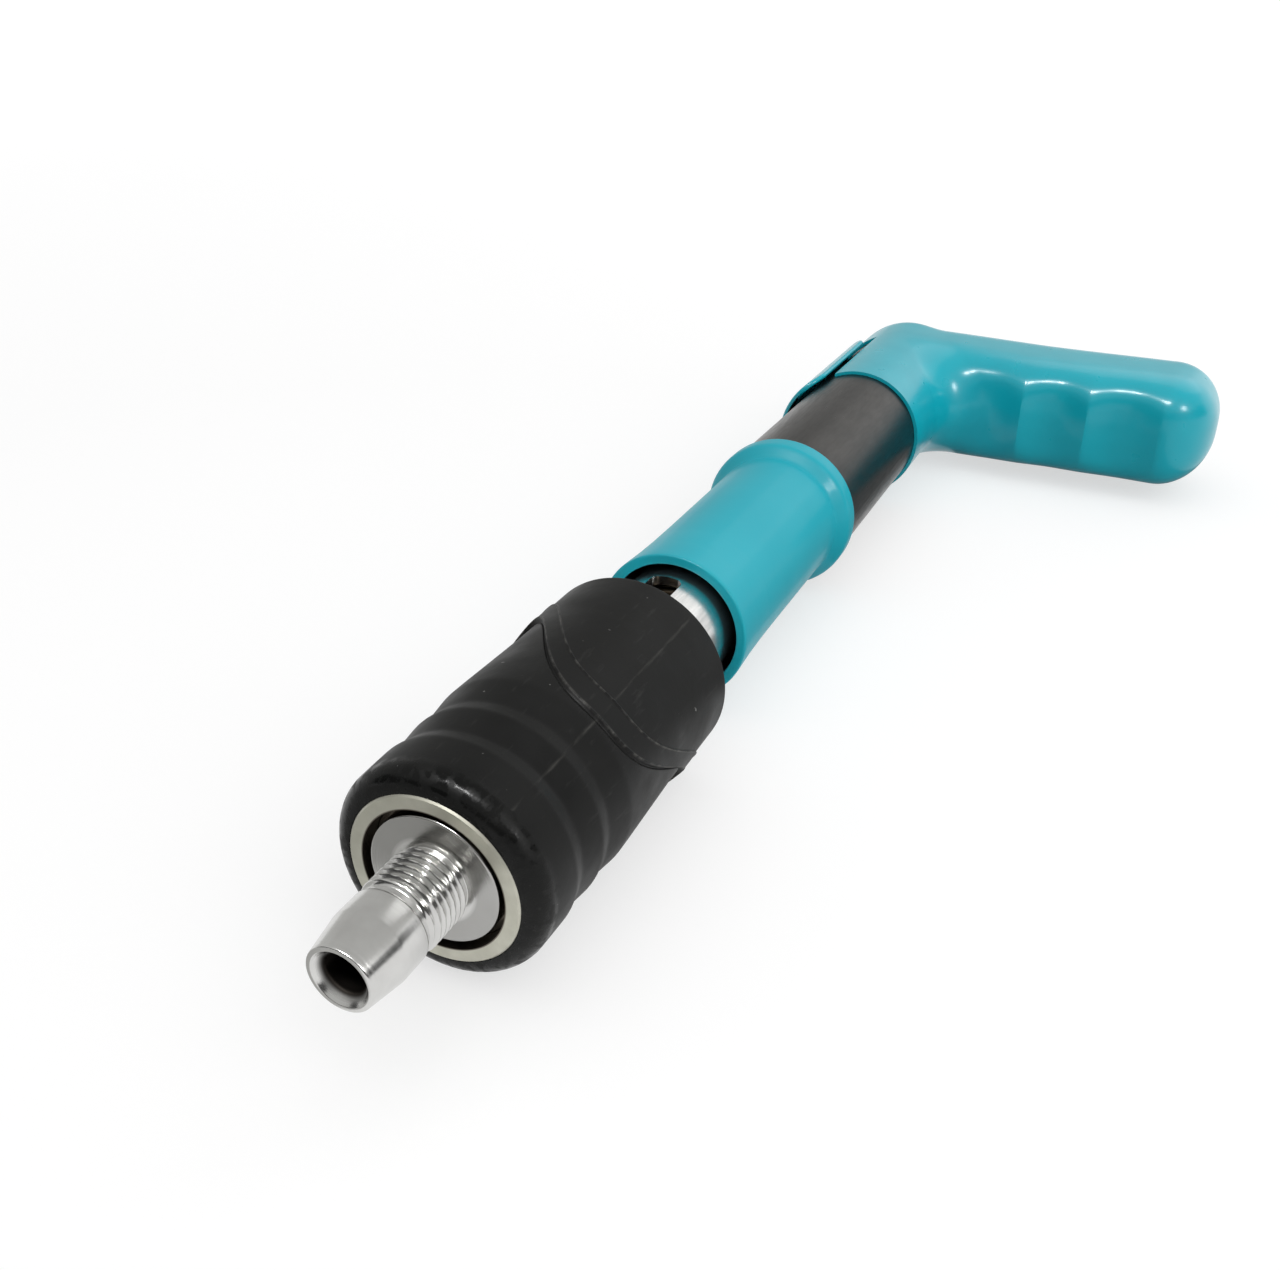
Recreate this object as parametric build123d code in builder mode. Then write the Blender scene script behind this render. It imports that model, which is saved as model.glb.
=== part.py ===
from build123d import *
import os
from math import cos, pi, radians, sin, sqrt

# Hand-cocked nailer for nails that carry their own charge, lying on its side.
# Millimetres. Origin: centre of the muzzle mouth. +X leaves the muzzle along the barrel
# axis, +Y runs down the handle, +Z is up. A station is a distance behind the mouth, so a
# turned outline is a list of (station, radius) points and its X is minus the station.

# Clearances
running_gap = 0.05
seat_gap = 0.05
slide_gap = 0.1
free_gap = 0.4
touch_gap = 0.3

# Nozzle: tapered tip, threaded neck and flange in one turned piece
bore_radius = 4.0
mouth_radius = 6.6
tip_radius = 7.9
tip_taper_length = 8.0
tip_length = 13.8
mouth_funnel_radius = 5.7
mouth_funnel_depth = 1.8
neck_relief_radius = 7.1
neck_relief_length = 1.4
thread_radius = 8.0
thread_depth = 0.9
thread_pitch = 1.5
thread_turns = 7
flange_radius = 13.1
flange_bevel = 0.7
flange_thickness = 4.0
nozzle_spigot_radius = 8.5
nozzle_spigot_length = 14.0

# Barrel, firing pin and breech
barrel_length = 50.0
barrel_bore_radius = 4.3
pin_tip_radius = 1.5
pin_tip_tunnel_length = 6.0
pin_collar_radius = 5.0
pin_collar_length = 2.5
pin_tail_radius = 2.8
pin_chamber_length = 14.0
breech_plug_thickness = 5.0
buffer_thickness = 3.4
buffer_bore_radius = 5.2
barrel_screw_radius = 2.0
barrel_screw_length = 4.5
barrel_screw_offset = 20.0

# Guide tube with three slots
guide_radius = 14.75
guide_wall = 2.15
guide_tail_length = 24.0
slot_angles = (90, 210, 330)
slot_width = 8.0
slot_corner_radius = 2.0
slot_overrun = 4.9

# Slide: steel sleeve, rubber grip, keys and hammer
slide_travel = 20.0
sleeve_radius = 17.85
sleeve_tail_length = 2.5
sleeve_rim_chamfer = 0.4
grip_wall_front = 4.55
grip_wall_rear = 5.1
grip_overhang = 3.4
grip_nose_radius = 4.2
grip_edge_radius = 0.6
groove_count = 2
groove_pitch = 9.6
groove_start = 13.6
groove_width = 4.0
groove_depth = 0.6
mould_angle = 49.0
band_height = 0.45
band_width = 7.0
band_offset = 36.3
band_sweep = 31.0
key_length = 8.0
key_offset = 9.0
key_depth = 4.4
key_top_gap = 0.6
key_screw_radius = 1.6
key_screw_head_radius = 2.9
key_screw_head_length = 1.8
key_screw_reach = 6.0
hammer_length = 25.0
hammer_boss_radius = 7.6
hammer_boss_length = 5.0
rod_radius = 4.5
rod_grip_length = 14.0

# Main spring and its seat
main_wire = 2.4
main_coil_radius = 9.6
main_turns = 16
main_spring_length = 84.0
seat_floor = 4.0
seat_wall = 3.0
seat_flange_thickness = 4.0

# Collar between guide tube and receiver
collar_bore_gap = 2.3
collar_lip_radius = 19.6
collar_lip_length = 7.0
collar_waist_radius = 18.45
collar_waist_start = 18.0
collar_waist_rear_radius = 18.6
collar_rim_radius = 21.7
collar_rim_length = 14.0
collar_length = 83.5
collar_to_grip = 21.9
collar_socket_length = 6.0

# Receiver tube
receiver_radius = 20.4
receiver_wall = 3.6
receiver_spigot_length = 16.0
receiver_shoulder_length = 6.0
receiver_shoulder_radius = 13.0
receiver_visible_length = 70.0
tube_screw_radius = 2.0
tube_screw_bite = 1.2
rod_guide_thickness = 6.0
rod_guide_offset = 21.0
rear_plug_thickness = 7.0

# Handle: hub round the receiver, finger grip and butt
hub_wall = 1.1
hub_length = 67.0
hub_end_wall = 13.0
hub_mouth_gap = 0.6
hub_mouth_depth = 2.0
hub_cut_height = 8.6
hub_corner_radius = 12.0
neck_thickness = 41.0
neck_nose_length = 48.0
nose_limit = 0.95
neck_height = 62.0
grip_front_offset = 37.0
grip_thickness = 38.0
grip_nose_length = 13.0
grip_heel_length = 12.5
elbow_radius = 14.0
elbow_steps = 6
first_ridge = 48.5
finger_pitch = 22.5
ridge_height = 2.6
rows_per_finger = 8
butt_reach = 111.5
butt_radius = 14.0
butt_flare = 1.4
butt_steps = 6
handle_screw_radius = 2.0
handle_screw_head_radius = 3.5
handle_screw_head_length = 1.6
handle_screw_offsets = (9.0, 22.0)

# Release lever and sear
lever_gap = 1.5
lever_wall = 1.6
lever_lead = 10.8
lever_length = 59.0
lever_edge_gap = 2.4
lever_end_gap = 2.4
lever_end_radius = 5.0
lever_web_width = 8.0
lever_web_lead = 7.5
lever_web_reach = 15.0
lever_web_depth = 2.6
pivot_offset = 28.0
pivot_depth = 3.0
pivot_radius = 1.5
pivot_length = 17.0
sear_thickness = 3.6
sear_width = 6.0
sear_height = 3.0
sear_rivet_radius = 0.9
sear_rivet_length = 7.0
sear_rivet_pitch = 3.0
catch_depth = 1.6
catch_width = 6.0
catch_land = 11.5
lever_wire = 0.6
lever_coil_radius = 2.5
lever_turns = 2
lever_pocket_depth = 2.0
lever_spring_offset = 12.0
pin_wire = 0.7
pin_coil_radius = 3.3
pin_turns = 6

# Stations that follow from the sizes above
neck_front = tip_length
thread_front = neck_front + neck_relief_length
thread_rear = thread_front + thread_turns * thread_pitch
flange_front = thread_rear + 0.8 * neck_relief_length
flange_rear = flange_front + flange_thickness
nozzle_rear = flange_rear + nozzle_spigot_length
barrel_rear = flange_rear + barrel_length
pin_chamber_front = barrel_rear - pin_chamber_length
pin_tunnel_front = pin_chamber_front - pin_tip_tunnel_length
breech_rear = barrel_rear + breech_plug_thickness
buffer_rear = breech_rear + buffer_thickness
hammer_front = buffer_rear + touch_gap
hammer_rear = hammer_front + hammer_length
key_station = hammer_front + key_offset
spring_front = hammer_rear + touch_gap
spring_rear = spring_front + main_spring_length
seat_front = spring_rear + touch_gap
guide_bore = guide_radius - guide_wall
guide_rear = seat_front + guide_tail_length
seat_rear = guide_rear + seat_flange_thickness
sleeve_front = flange_front - touch_gap
sleeve_bore = guide_radius + slide_gap
sleeve_rear = key_station + key_length / 2 + sleeve_tail_length
grip_front = sleeve_front + touch_gap
grip_rear = sleeve_rear + grip_overhang
collar_front = grip_rear + collar_to_grip
collar_rear = collar_front + collar_length
collar_bore = guide_radius + collar_bore_gap
receiver_front = collar_rear - collar_socket_length
spigot_front = receiver_front - receiver_spigot_length
receiver_bore = receiver_radius - receiver_wall
shoulder_front = seat_rear + touch_gap
shoulder_rear = shoulder_front + receiver_shoulder_length
hub_front = collar_rear + receiver_visible_length
receiver_rear = hub_front + hub_length
hub_rear = receiver_rear + hub_end_wall
hub_radius = receiver_radius + hub_wall
lever_front = hub_front - lever_lead
lever_rear = lever_front + lever_length
lever_bore = receiver_radius + lever_gap
lever_radius = lever_bore + lever_wall
pivot_station = hub_front + pivot_offset
pivot_height = receiver_radius - pivot_depth
web_front = pivot_station - lever_web_lead
sear_front = pivot_station + lever_web_reach
sear_rear = sear_front + sear_thickness
catch_station = (sear_front + sear_rear) / 2 - slide_travel
rod_rear = catch_station + catch_width / 2 + catch_land


def turn(outline, mode=Mode.ADD):
    """Turn an outline of (station, radius) points about the barrel axis."""
    with BuildSketch(Plane.XY) as section:
        with BuildLine():
            Polyline([(-station, radius) for station, radius in outline], close=True)
        make_face()
    revolve(section.sketch, Axis.X, mode=mode)


def tube(front, rear, bore, radius, mode=Mode.ADD):
    """A plain turned ring between two stations."""
    turn([(front, bore), (rear, bore), (rear, radius), (front, radius)], mode)


def rod(front, rear, radius, mode=Mode.ADD):
    """A plain turned bar between two stations."""
    tube(front, rear, 0, radius, mode)


def spoke(station, angle, radius):
    """A plane square to a spoke of the barrel axis, facing outwards at a radius."""
    across = radians(angle)
    outward = (0, cos(across), sin(across))
    return Plane((-station, radius * outward[1], radius * outward[2]), (1, 0, 0), outward)


def peg(plane, radius, length, mode=Mode.ADD):
    """A round peg that grows from a plane along its normal."""
    with Locations(plane):
        Cylinder(radius, length, align=(Align.CENTER, Align.CENTER, Align.MIN), mode=mode)


def coil(plane, radius, wire, turns, height):
    """Sweep a round wire along a helix of quarter-turn biarcs and print its least gap."""
    rise = height / (2 * pi * turns)
    slant = sqrt(radius**2 + rise**2)

    def on_helix(turned):
        outward = plane.x_dir * cos(turned) + plane.y_dir * sin(turned)
        sideways = plane.y_dir * cos(turned) - plane.x_dir * sin(turned)
        place = plane.origin + outward * radius + plane.z_dir * (rise * turned)
        return place, (sideways * radius + plane.z_dir * rise) * (1 / slant)

    with BuildLine() as path:
        for quarter in range(4 * turns):
            start, heading = on_helix(quarter * pi / 2)
            end, leaving = on_helix((quarter + 1) * pi / 2)
            chord = end - start
            spread = 2 * (1 - heading.dot(leaving))
            along = chord.dot(heading + leaving)
            reach = (sqrt(along**2 + spread * chord.dot(chord)) - along) / spread
            first = start + heading * reach
            second = end - leaving * reach
            middle = (first + second) * 0.5
            TangentArc(start, middle, tangent=heading)
            TangentArc(middle, end, tangent=second - first)
    line = path.wire()
    with BuildSketch(Plane(line @ 0, z_dir=line % 0)) as section:
        Circle(wire / 2)
    sweep(section.sketch, line)
    steps = 16
    spots = [on_helix(2 * pi * step / steps)[0] for step in range(steps * turns + 1)]
    pairs = [(a, b) for i, a in enumerate(spots) for b in spots[i + steps // 2 :]]
    print("least gap of the coil", round(min((b - a).length for a, b in pairs) - wire, 3))


def save(builder, label):
    """Label a finished piece and write it as one STEP file."""
    builder.part.label = label
    export_step(builder.part, f"parts/{label}.step")


os.makedirs("parts", exist_ok=True)

# Nozzle: the thread is cut as V-shaped rings at its real pitch and depth
with BuildPart() as nozzle:
    thread_root = thread_radius - thread_depth
    crests = [
        point
        for turn_index in range(thread_turns)
        for point in (
            (thread_front + turn_index * thread_pitch, thread_root),
            (thread_front + (turn_index + 0.5) * thread_pitch, thread_radius),
        )
    ]
    turn(
        [(0, mouth_funnel_radius), (0, mouth_radius), (tip_taper_length, tip_radius)]
        + [(neck_front, tip_radius), (neck_front, neck_relief_radius)]
        + crests
        + [(thread_rear, thread_root), (flange_front, thread_root)]
        + [(flange_front, flange_radius - flange_bevel)]
        + [(flange_front + flange_bevel, flange_radius), (flange_rear, flange_radius)]
        + [(flange_rear, nozzle_spigot_radius), (nozzle_rear, nozzle_spigot_radius)]
        + [(nozzle_rear, bore_radius), (mouth_funnel_depth, bore_radius)]
    )
save(nozzle, "nozzle")

# Barrel: screwed on behind the flange, holds the nail head and the firing pin
barrel_radius = guide_bore - seat_gap
with BuildPart() as barrel:
    rod(flange_rear, barrel_rear, barrel_radius)
    rod(flange_rear, nozzle_rear + touch_gap, nozzle_spigot_radius + seat_gap, Mode.SUBTRACT)
    rod(flange_rear, pin_tunnel_front, barrel_bore_radius, Mode.SUBTRACT)
    rod(flange_rear, barrel_rear, pin_tip_radius + slide_gap, Mode.SUBTRACT)
    rod(pin_chamber_front, barrel_rear, pin_collar_radius + slide_gap, Mode.SUBTRACT)
    screw_floor = guide_radius - touch_gap - barrel_screw_length
    for angle in slot_angles:
        hole = spoke(flange_rear + barrel_screw_offset, angle, screw_floor - seat_gap)
        peg(hole, barrel_screw_radius + seat_gap, barrel_screw_length, Mode.SUBTRACT)
save(barrel, "barrel")

# Breech plug: closes the barrel and keeps the firing pin in
with BuildPart() as breech_plug:
    tube(barrel_rear, breech_rear, pin_tail_radius + slide_gap, barrel_radius)
save(breech_plug, "breech_plug")

# Buffer: urethane ring that the hammer comes to rest on
with BuildPart() as buffer_ring:
    tube(breech_rear, buffer_rear, buffer_bore_radius, barrel_radius - free_gap)
save(buffer_ring, "buffer_ring")

# Firing pin: floats in the barrel, its tail just short of the hammer
pin_collar_rear = barrel_rear - touch_gap
pin_collar_front = pin_collar_rear - pin_collar_length
with BuildPart() as firing_pin:
    rod(pin_tunnel_front + touch_gap, pin_collar_front, pin_tip_radius)
    rod(pin_collar_front, pin_collar_rear, pin_collar_radius)
    rod(pin_collar_rear, buffer_rear, pin_tail_radius)
save(firing_pin, "firing_pin")

# Firing pin spring: pushes the pin back after each strike
pin_spring_front = pin_chamber_front + pin_wire / 2 + touch_gap
pin_spring_rear = pin_collar_front - pin_wire / 2 - touch_gap
with BuildPart() as firing_pin_spring:
    coil(
        Plane((-pin_spring_rear, 0, 0), z_dir=(1, 0, 0)),
        pin_coil_radius,
        pin_wire,
        pin_turns,
        pin_spring_rear - pin_spring_front,
    )
save(firing_pin_spring, "firing_pin_spring")

# Guide tube: chromed, with one slot for each drive key
slot_front = key_station - key_length / 2 - touch_gap
slot_rear = key_station + key_length / 2 + slide_travel + touch_gap + slot_overrun
seat_screw_station = (spigot_front + receiver_front) / 2
with BuildPart() as guide_tube:
    tube(flange_rear, guide_rear, guide_bore, guide_radius)
    for angle in slot_angles:
        with BuildSketch(spoke((slot_front + slot_rear) / 2, angle, guide_bore / 2)) as slot:
            RectangleRounded(slot_rear - slot_front, slot_width, slot_corner_radius)
        extrude(slot.sketch, guide_radius, mode=Mode.SUBTRACT)
        screw_hole = spoke(flange_rear + barrel_screw_offset, angle, guide_bore / 2)
        peg(screw_hole, barrel_screw_radius + seat_gap, guide_radius, Mode.SUBTRACT)
        dimple = spoke(seat_screw_station, angle, guide_radius - tube_screw_bite)
        peg(dimple, tube_screw_radius + seat_gap, guide_radius, Mode.SUBTRACT)
save(guide_tube, "guide_tube")

# Barrel screws: three flush grub screws that lock the barrel in the guide tube
with BuildPart() as barrel_screws:
    for angle in slot_angles:
        seat = spoke(flange_rear + barrel_screw_offset, angle, screw_floor)
        peg(seat, barrel_screw_radius, barrel_screw_length)
save(barrel_screws, "barrel_screws")

# Slide sleeve: zinc-plated steel, runs on the guide tube
key_width = slot_width - free_gap
with BuildPart() as slide_sleeve:
    turn(
        [(sleeve_front, sleeve_bore), (sleeve_front, sleeve_radius - sleeve_rim_chamfer)]
        + [(sleeve_front + sleeve_rim_chamfer, sleeve_radius), (sleeve_rear, sleeve_radius)]
        + [(sleeve_rear, sleeve_bore)]
    )
    for angle in slot_angles:
        with BuildSketch(spoke(key_station, angle, guide_bore)) as pocket:
            RectangleRounded(
                key_length + seat_gap, key_width + seat_gap, slot_corner_radius
            )
        extrude(pocket.sketch, sleeve_radius, mode=Mode.SUBTRACT)
save(slide_sleeve, "slide_sleeve")

# Rubber grip: moulded sleeve with a round nose, two grooves and a wavy raised band
grip_bore = sleeve_radius + seat_gap
grip_nose = sleeve_radius + grip_wall_front
grip_tail = sleeve_radius + grip_wall_rear
groove_front = grip_front + groove_start
band_front = grip_front + band_offset
band_radius = grip_tail + band_height
with BuildPart() as rubber_grip:
    with BuildSketch(Plane.XY) as grip_outline:
        with BuildLine():
            Line((-grip_front, grip_bore), (-grip_front, grip_nose - grip_nose_radius))
            RadiusArc(
                (-grip_front, grip_nose - grip_nose_radius),
                (-grip_front - grip_nose_radius, grip_nose),
                -grip_nose_radius,
            )
            Line((-grip_front - grip_nose_radius, grip_nose), (-groove_front, grip_nose))
            for groove in range(groove_count):
                start = -groove_front - groove * groove_pitch
                SagittaArc((start, grip_nose), (start - groove_width, grip_nose), groove_depth)
                last_groove = groove == groove_count - 1
                land_end = -band_front if last_groove else start - groove_pitch
                land_radius = grip_tail if last_groove else grip_nose
                Line((start - groove_width, grip_nose), (land_end, land_radius))
            Polyline(
                (-band_front, grip_tail),
                (-grip_rear + grip_edge_radius, grip_tail),
                (-grip_rear, grip_tail - grip_edge_radius),
                (-grip_rear, grip_bore),
                (-grip_front, grip_bore),
            )
        make_face()
    revolve(grip_outline.sketch, Axis.X)
with BuildPart() as grip_band:
    with BuildSketch(Plane(Vector(), (-1, 0, 0), spoke(0, mould_angle, 0).z_dir)) as wave:
        with BuildLine():
            for edge in (band_front, band_front + band_width):
                for side in (-1, 1):
                    third = side * band_radius / 3
                    Bezier(
                        (edge, 0),
                        (edge, third),
                        (edge, 2 * third),
                        (edge + band_sweep, 3 * third),
                    )
            for side in (-1, 1):
                wave_end = band_front + band_sweep
                Line(
                    (wave_end, side * band_radius),
                    (wave_end + band_width, side * band_radius),
                )
        make_face()
    extrude(wave.sketch, band_radius, both=True)
    tube(grip_front, grip_rear, (grip_bore + grip_nose) / 2, band_radius, Mode.INTERSECT)
with BuildPart() as banded_grip:
    add(rubber_grip.part)
    add(grip_band.part)
save(banded_grip, "rubber_grip")

# Drive keys: three blocks that reach from the sleeve through the slots into the hammer
hammer_radius = guide_bore - free_gap
key_floor = hammer_radius - key_depth
key_top = sleeve_radius - key_top_gap
key_head_seat = key_top - key_screw_head_length
with BuildPart() as drive_keys:
    for angle in slot_angles:
        key_foot = spoke(key_station, angle, key_floor)
        with BuildSketch(key_foot) as key:
            RectangleRounded(key_length, key_width, slot_corner_radius)
        extrude(key.sketch, key_top - key_floor)
        peg(key_foot, key_screw_radius + seat_gap, key_top, Mode.SUBTRACT)
        head_seat = spoke(key_station, angle, key_head_seat)
        peg(head_seat, key_screw_head_radius + seat_gap, key_top, Mode.SUBTRACT)
save(drive_keys, "drive_keys")

# Key screws: cap screws that pull the keys down onto the hammer
with BuildPart() as key_screws:
    for angle in slot_angles:
        shank = spoke(key_station, angle, key_screw_reach)
        peg(shank, key_screw_radius, key_head_seat - key_screw_reach)
        head = spoke(key_station, angle, key_head_seat)
        peg(head, key_screw_head_radius, key_screw_head_length)
save(key_screws, "key_screws")

# Hammer: the moving weight, with a boss that centres the main spring
with BuildPart() as hammer:
    rod(hammer_front, hammer_rear, hammer_radius)
    rod(hammer_rear, hammer_rear + hammer_boss_length, hammer_boss_radius)
    rod_socket = hammer_rear + hammer_boss_length - rod_grip_length
    rod(rod_socket, hammer_rear + hammer_boss_length, rod_radius, Mode.SUBTRACT)
    for angle in slot_angles:
        with BuildSketch(spoke(key_station, angle, key_floor)) as key_pocket:
            RectangleRounded(key_length + seat_gap, key_width + seat_gap, slot_corner_radius)
        extrude(key_pocket.sketch, hammer_radius, mode=Mode.SUBTRACT)
        screw_hole = spoke(key_station, angle, key_screw_reach)
        peg(screw_hole, key_screw_radius, hammer_radius, Mode.SUBTRACT)
save(hammer, "hammer")

# Hammer rod: runs back through the main spring, with a groove for the sear near its end
catch_front = catch_station - catch_width / 2
catch_rear = catch_station + catch_width / 2
with BuildPart() as hammer_rod:
    turn(
        [(rod_socket, 0), (rod_socket, rod_radius), (catch_front, rod_radius)]
        + [(catch_front, rod_radius - catch_depth), (catch_rear, rod_radius - catch_depth)]
        + [(catch_rear, rod_radius), (rod_rear - catch_depth, rod_radius)]
        + [(rod_rear, rod_radius - catch_depth), (rod_rear, 0)]
    )
save(hammer_rod, "hammer_rod")

# Main spring: shows through the slots of the guide tube
with BuildPart() as main_spring:
    coil(
        Plane((-spring_rear + main_wire / 2, 0, 0), z_dir=(1, 0, 0)),
        main_coil_radius,
        main_wire,
        main_turns,
        main_spring_length - main_wire,
    )
save(main_spring, "main_spring")

# Spring seat: flanged cup in the tail of the guide tube, a guide for the rod
with BuildPart() as spring_seat:
    rod(seat_front, guide_rear, guide_bore - seat_gap)
    rod(guide_rear, seat_rear, guide_radius - seat_gap)
    rod(seat_front + seat_floor, seat_rear, guide_bore - seat_wall, Mode.SUBTRACT)
    rod(seat_front, seat_rear, rod_radius + slide_gap, Mode.SUBTRACT)
save(spring_seat, "spring_seat")

# Collar: painted sleeve screwed onto the receiver, open in front round the guide tube
with BuildPart() as collar:
    rim_front = collar_rear - collar_rim_length
    rim_round = collar_rim_length / 4
    rim_edge = (collar_rim_radius + receiver_radius) / 2
    turn(
        [(collar_front, collar_bore), (collar_front, collar_lip_radius - seat_gap)]
        + [(collar_front + collar_lip_length, collar_lip_radius)]
        + [(collar_front + collar_waist_start, collar_waist_radius)]
        + [(rim_front, collar_waist_rear_radius)]
        + [(rim_front + rim_round, (collar_waist_rear_radius + collar_rim_radius) / 2)]
        + [(rim_front + 2 * rim_round, collar_rim_radius)]
        + [(collar_rear - rim_round / 2, collar_rim_radius), (collar_rear, rim_edge)]
        + [(collar_rear, receiver_radius + seat_gap)]
        + [(receiver_front, receiver_radius + seat_gap), (receiver_front, collar_bore)]
    )
save(collar, "collar")

# Receiver tube: blackened steel, carries the guide tube, the sear and the handle
window_front = web_front - free_gap - lever_wall
window_rear = sear_rear + free_gap + lever_wall
window_width = lever_web_width + 2 * touch_gap
spring_station = lever_front + lever_spring_offset
pocket_floor = receiver_radius - lever_pocket_depth
pivot_plane = Plane((-pivot_station, -pivot_height, -pivot_length / 2))
with BuildPart() as receiver_tube:
    rod(spigot_front, receiver_front, collar_bore - seat_gap)
    rod(receiver_front, receiver_rear, receiver_radius)
    rod(spigot_front, shoulder_front, guide_radius + seat_gap, Mode.SUBTRACT)
    rod(shoulder_front, shoulder_rear, receiver_shoulder_radius, Mode.SUBTRACT)
    rod(shoulder_rear, receiver_rear, receiver_bore, Mode.SUBTRACT)
    with BuildSketch(spoke((window_front + window_rear) / 2, 180, 0)) as window:
        Rectangle(window_rear - window_front, window_width)
    extrude(window.sketch, receiver_radius, mode=Mode.SUBTRACT)
    peg(spoke(spring_station, 180, pocket_floor), lever_coil_radius + 2 * lever_wire,
        receiver_radius, Mode.SUBTRACT)
    peg(pivot_plane, pivot_radius, pivot_length, Mode.SUBTRACT)
    for angle in slot_angles:
        tube_hole = spoke(seat_screw_station, angle, guide_radius / 2)
        peg(tube_hole, tube_screw_radius + seat_gap, receiver_radius, Mode.SUBTRACT)
    for offset in handle_screw_offsets:
        screw_hole = spoke(hub_front + offset, 270, receiver_bore / 2)
        peg(screw_hole, handle_screw_radius, receiver_radius, Mode.SUBTRACT)
save(receiver_tube, "receiver_tube")

# Tube screws: grub screws under the collar that lock the guide tube in the receiver
with BuildPart() as tube_screws:
    screw_foot = guide_radius - tube_screw_bite
    for angle in slot_angles:
        foot = spoke(seat_screw_station, angle, screw_foot)
        peg(foot, tube_screw_radius, collar_bore - touch_gap - screw_foot)
save(tube_screws, "tube_screws")

# Rod guide and rear plug: discs pressed into the receiver
with BuildPart() as rod_guide:
    guide_front = hub_front - rod_guide_offset
    tube(guide_front, guide_front + rod_guide_thickness, rod_radius + slide_gap,
         receiver_bore - seat_gap)
save(rod_guide, "rod_guide")

with BuildPart() as rear_plug:
    tube(receiver_rear - rear_plug_thickness, receiver_rear, rod_radius + free_gap,
         receiver_bore - seat_gap)
save(rear_plug, "rear_plug")


# Handle: one moulding. The hub is turned, and the grip is lofted through level sections,
# from the barrel axis down to the butt, blunt at the heel and round in front.
grip_front_station = hub_front + grip_front_offset
elbow_station = grip_front_station - elbow_radius
elbow_height = hub_radius + elbow_radius
butt_height = butt_reach - butt_radius


def finger_station(height):
    """Front of the grip: a wave with a ridge between each two fingers, fuller at the butt."""
    wave = cos(2 * pi * (height - first_ridge) / finger_pitch)
    flare = butt_flare * (height - elbow_height) / (butt_height - elbow_height)
    return grip_front_station - ridge_height * (1 + wave) / 2 - flare


def grip_section(height, front, inset=0):
    """A level section: half an ellipse in front, half an ellipse at the heel, flat sides."""
    share = min(1, height / neck_height)
    blend = (1 - share) ** 2 * (1 + 2 * share)
    half = (grip_thickness + blend * (neck_thickness - grip_thickness)) / 2 - inset
    length = hub_rear - front - 2 * inset
    heel = min(grip_heel_length, length / 3)
    nose = grip_nose_length + blend * (neck_nose_length - grip_nose_length)
    nose = min(nose, nose_limit * (length - heel))
    nose_start = -front - inset - nose
    heel_start = -hub_rear + inset + heel
    with BuildSketch(Plane((0, height, 0), x_dir=(1, 0, 0), z_dir=(0, 1, 0))) as section:
        with BuildLine():
            EllipticalCenterArc((nose_start, 0), nose, half, -90, arc_size=180)
            Line((nose_start, half), (heel_start, half))
            EllipticalCenterArc((heel_start, 0), heel, half, 90, arc_size=180)
            Line((heel_start, -half), (nose_start, -half))
        make_face()
    return section.sketch


grip_sections = [grip_section(0, elbow_station)]
for step in range(elbow_steps + 1):
    bend = radians(90) * step / elbow_steps
    bend_height = elbow_height - elbow_radius * cos(bend)
    grip_sections.append(grip_section(bend_height, elbow_station + elbow_radius * sin(bend)))
finger_rows = round((butt_height - elbow_height) / finger_pitch * rows_per_finger)
for row in range(1, finger_rows + 1):
    row_height = elbow_height + (butt_height - elbow_height) * row / finger_rows
    grip_sections.append(grip_section(row_height, finger_station(row_height)))
for step in range(1, butt_steps + 1):
    turned = radians(90) * step / (butt_steps + 0.2)
    butt_inset = butt_radius * (1 - cos(turned))
    row_height = butt_height + butt_radius * sin(turned)
    grip_sections.append(grip_section(row_height, finger_station(butt_height), butt_inset))

with BuildPart() as handle:
    with BuildSketch(Plane.XY) as hub_section:
        with BuildLine():
            Polyline(
                (-hub_rear, 0),
                (-hub_front, 0),
                (-hub_front, hub_radius),
                (-hub_rear + hub_corner_radius, hub_radius),
            )
            TangentArc(
                (-hub_rear + hub_corner_radius, hub_radius),
                (-hub_rear, hub_radius - hub_corner_radius),
                tangent=(-1, 0),
            )
            Line((-hub_rear, hub_radius - hub_corner_radius), (-hub_rear, 0))
        make_face()
    revolve(hub_section.sketch, Axis.X)
    loft(grip_sections, ruled=True)
    rod(hub_front, receiver_rear + touch_gap, receiver_radius + seat_gap, Mode.SUBTRACT)
    mouth_rear = hub_front + hub_mouth_depth
    turn(
        [(hub_front, 0), (hub_front, receiver_radius + hub_mouth_gap)]
        + [(mouth_rear, receiver_radius), (mouth_rear, 0)],
        Mode.SUBTRACT,
    )
    cut_rear = lever_rear + lever_end_gap
    with BuildSketch(spoke((hub_front + cut_rear) / 2, 180, hub_cut_height)) as lever_cut:
        Rectangle(cut_rear - hub_front, 3 * hub_radius)
    extrude(lever_cut.sketch, hub_radius, mode=Mode.SUBTRACT)
    for offset in handle_screw_offsets:
        screw_hole = spoke(hub_front + offset, 270, receiver_bore)
        peg(screw_hole, handle_screw_radius + seat_gap, hub_radius, Mode.SUBTRACT)
save(handle, "handle")

# Handle screws: two pan-head screws from below, through the hub into the receiver
with BuildPart() as handle_screws:
    for offset in handle_screw_offsets:
        shank = spoke(hub_front + offset, 270, receiver_bore)
        peg(shank, handle_screw_radius, hub_radius - receiver_bore)
        head = spoke(hub_front + offset, 270, hub_radius)
        peg(head, handle_screw_head_radius, handle_screw_head_length)
save(handle_screws, "handle_screws")

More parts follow.
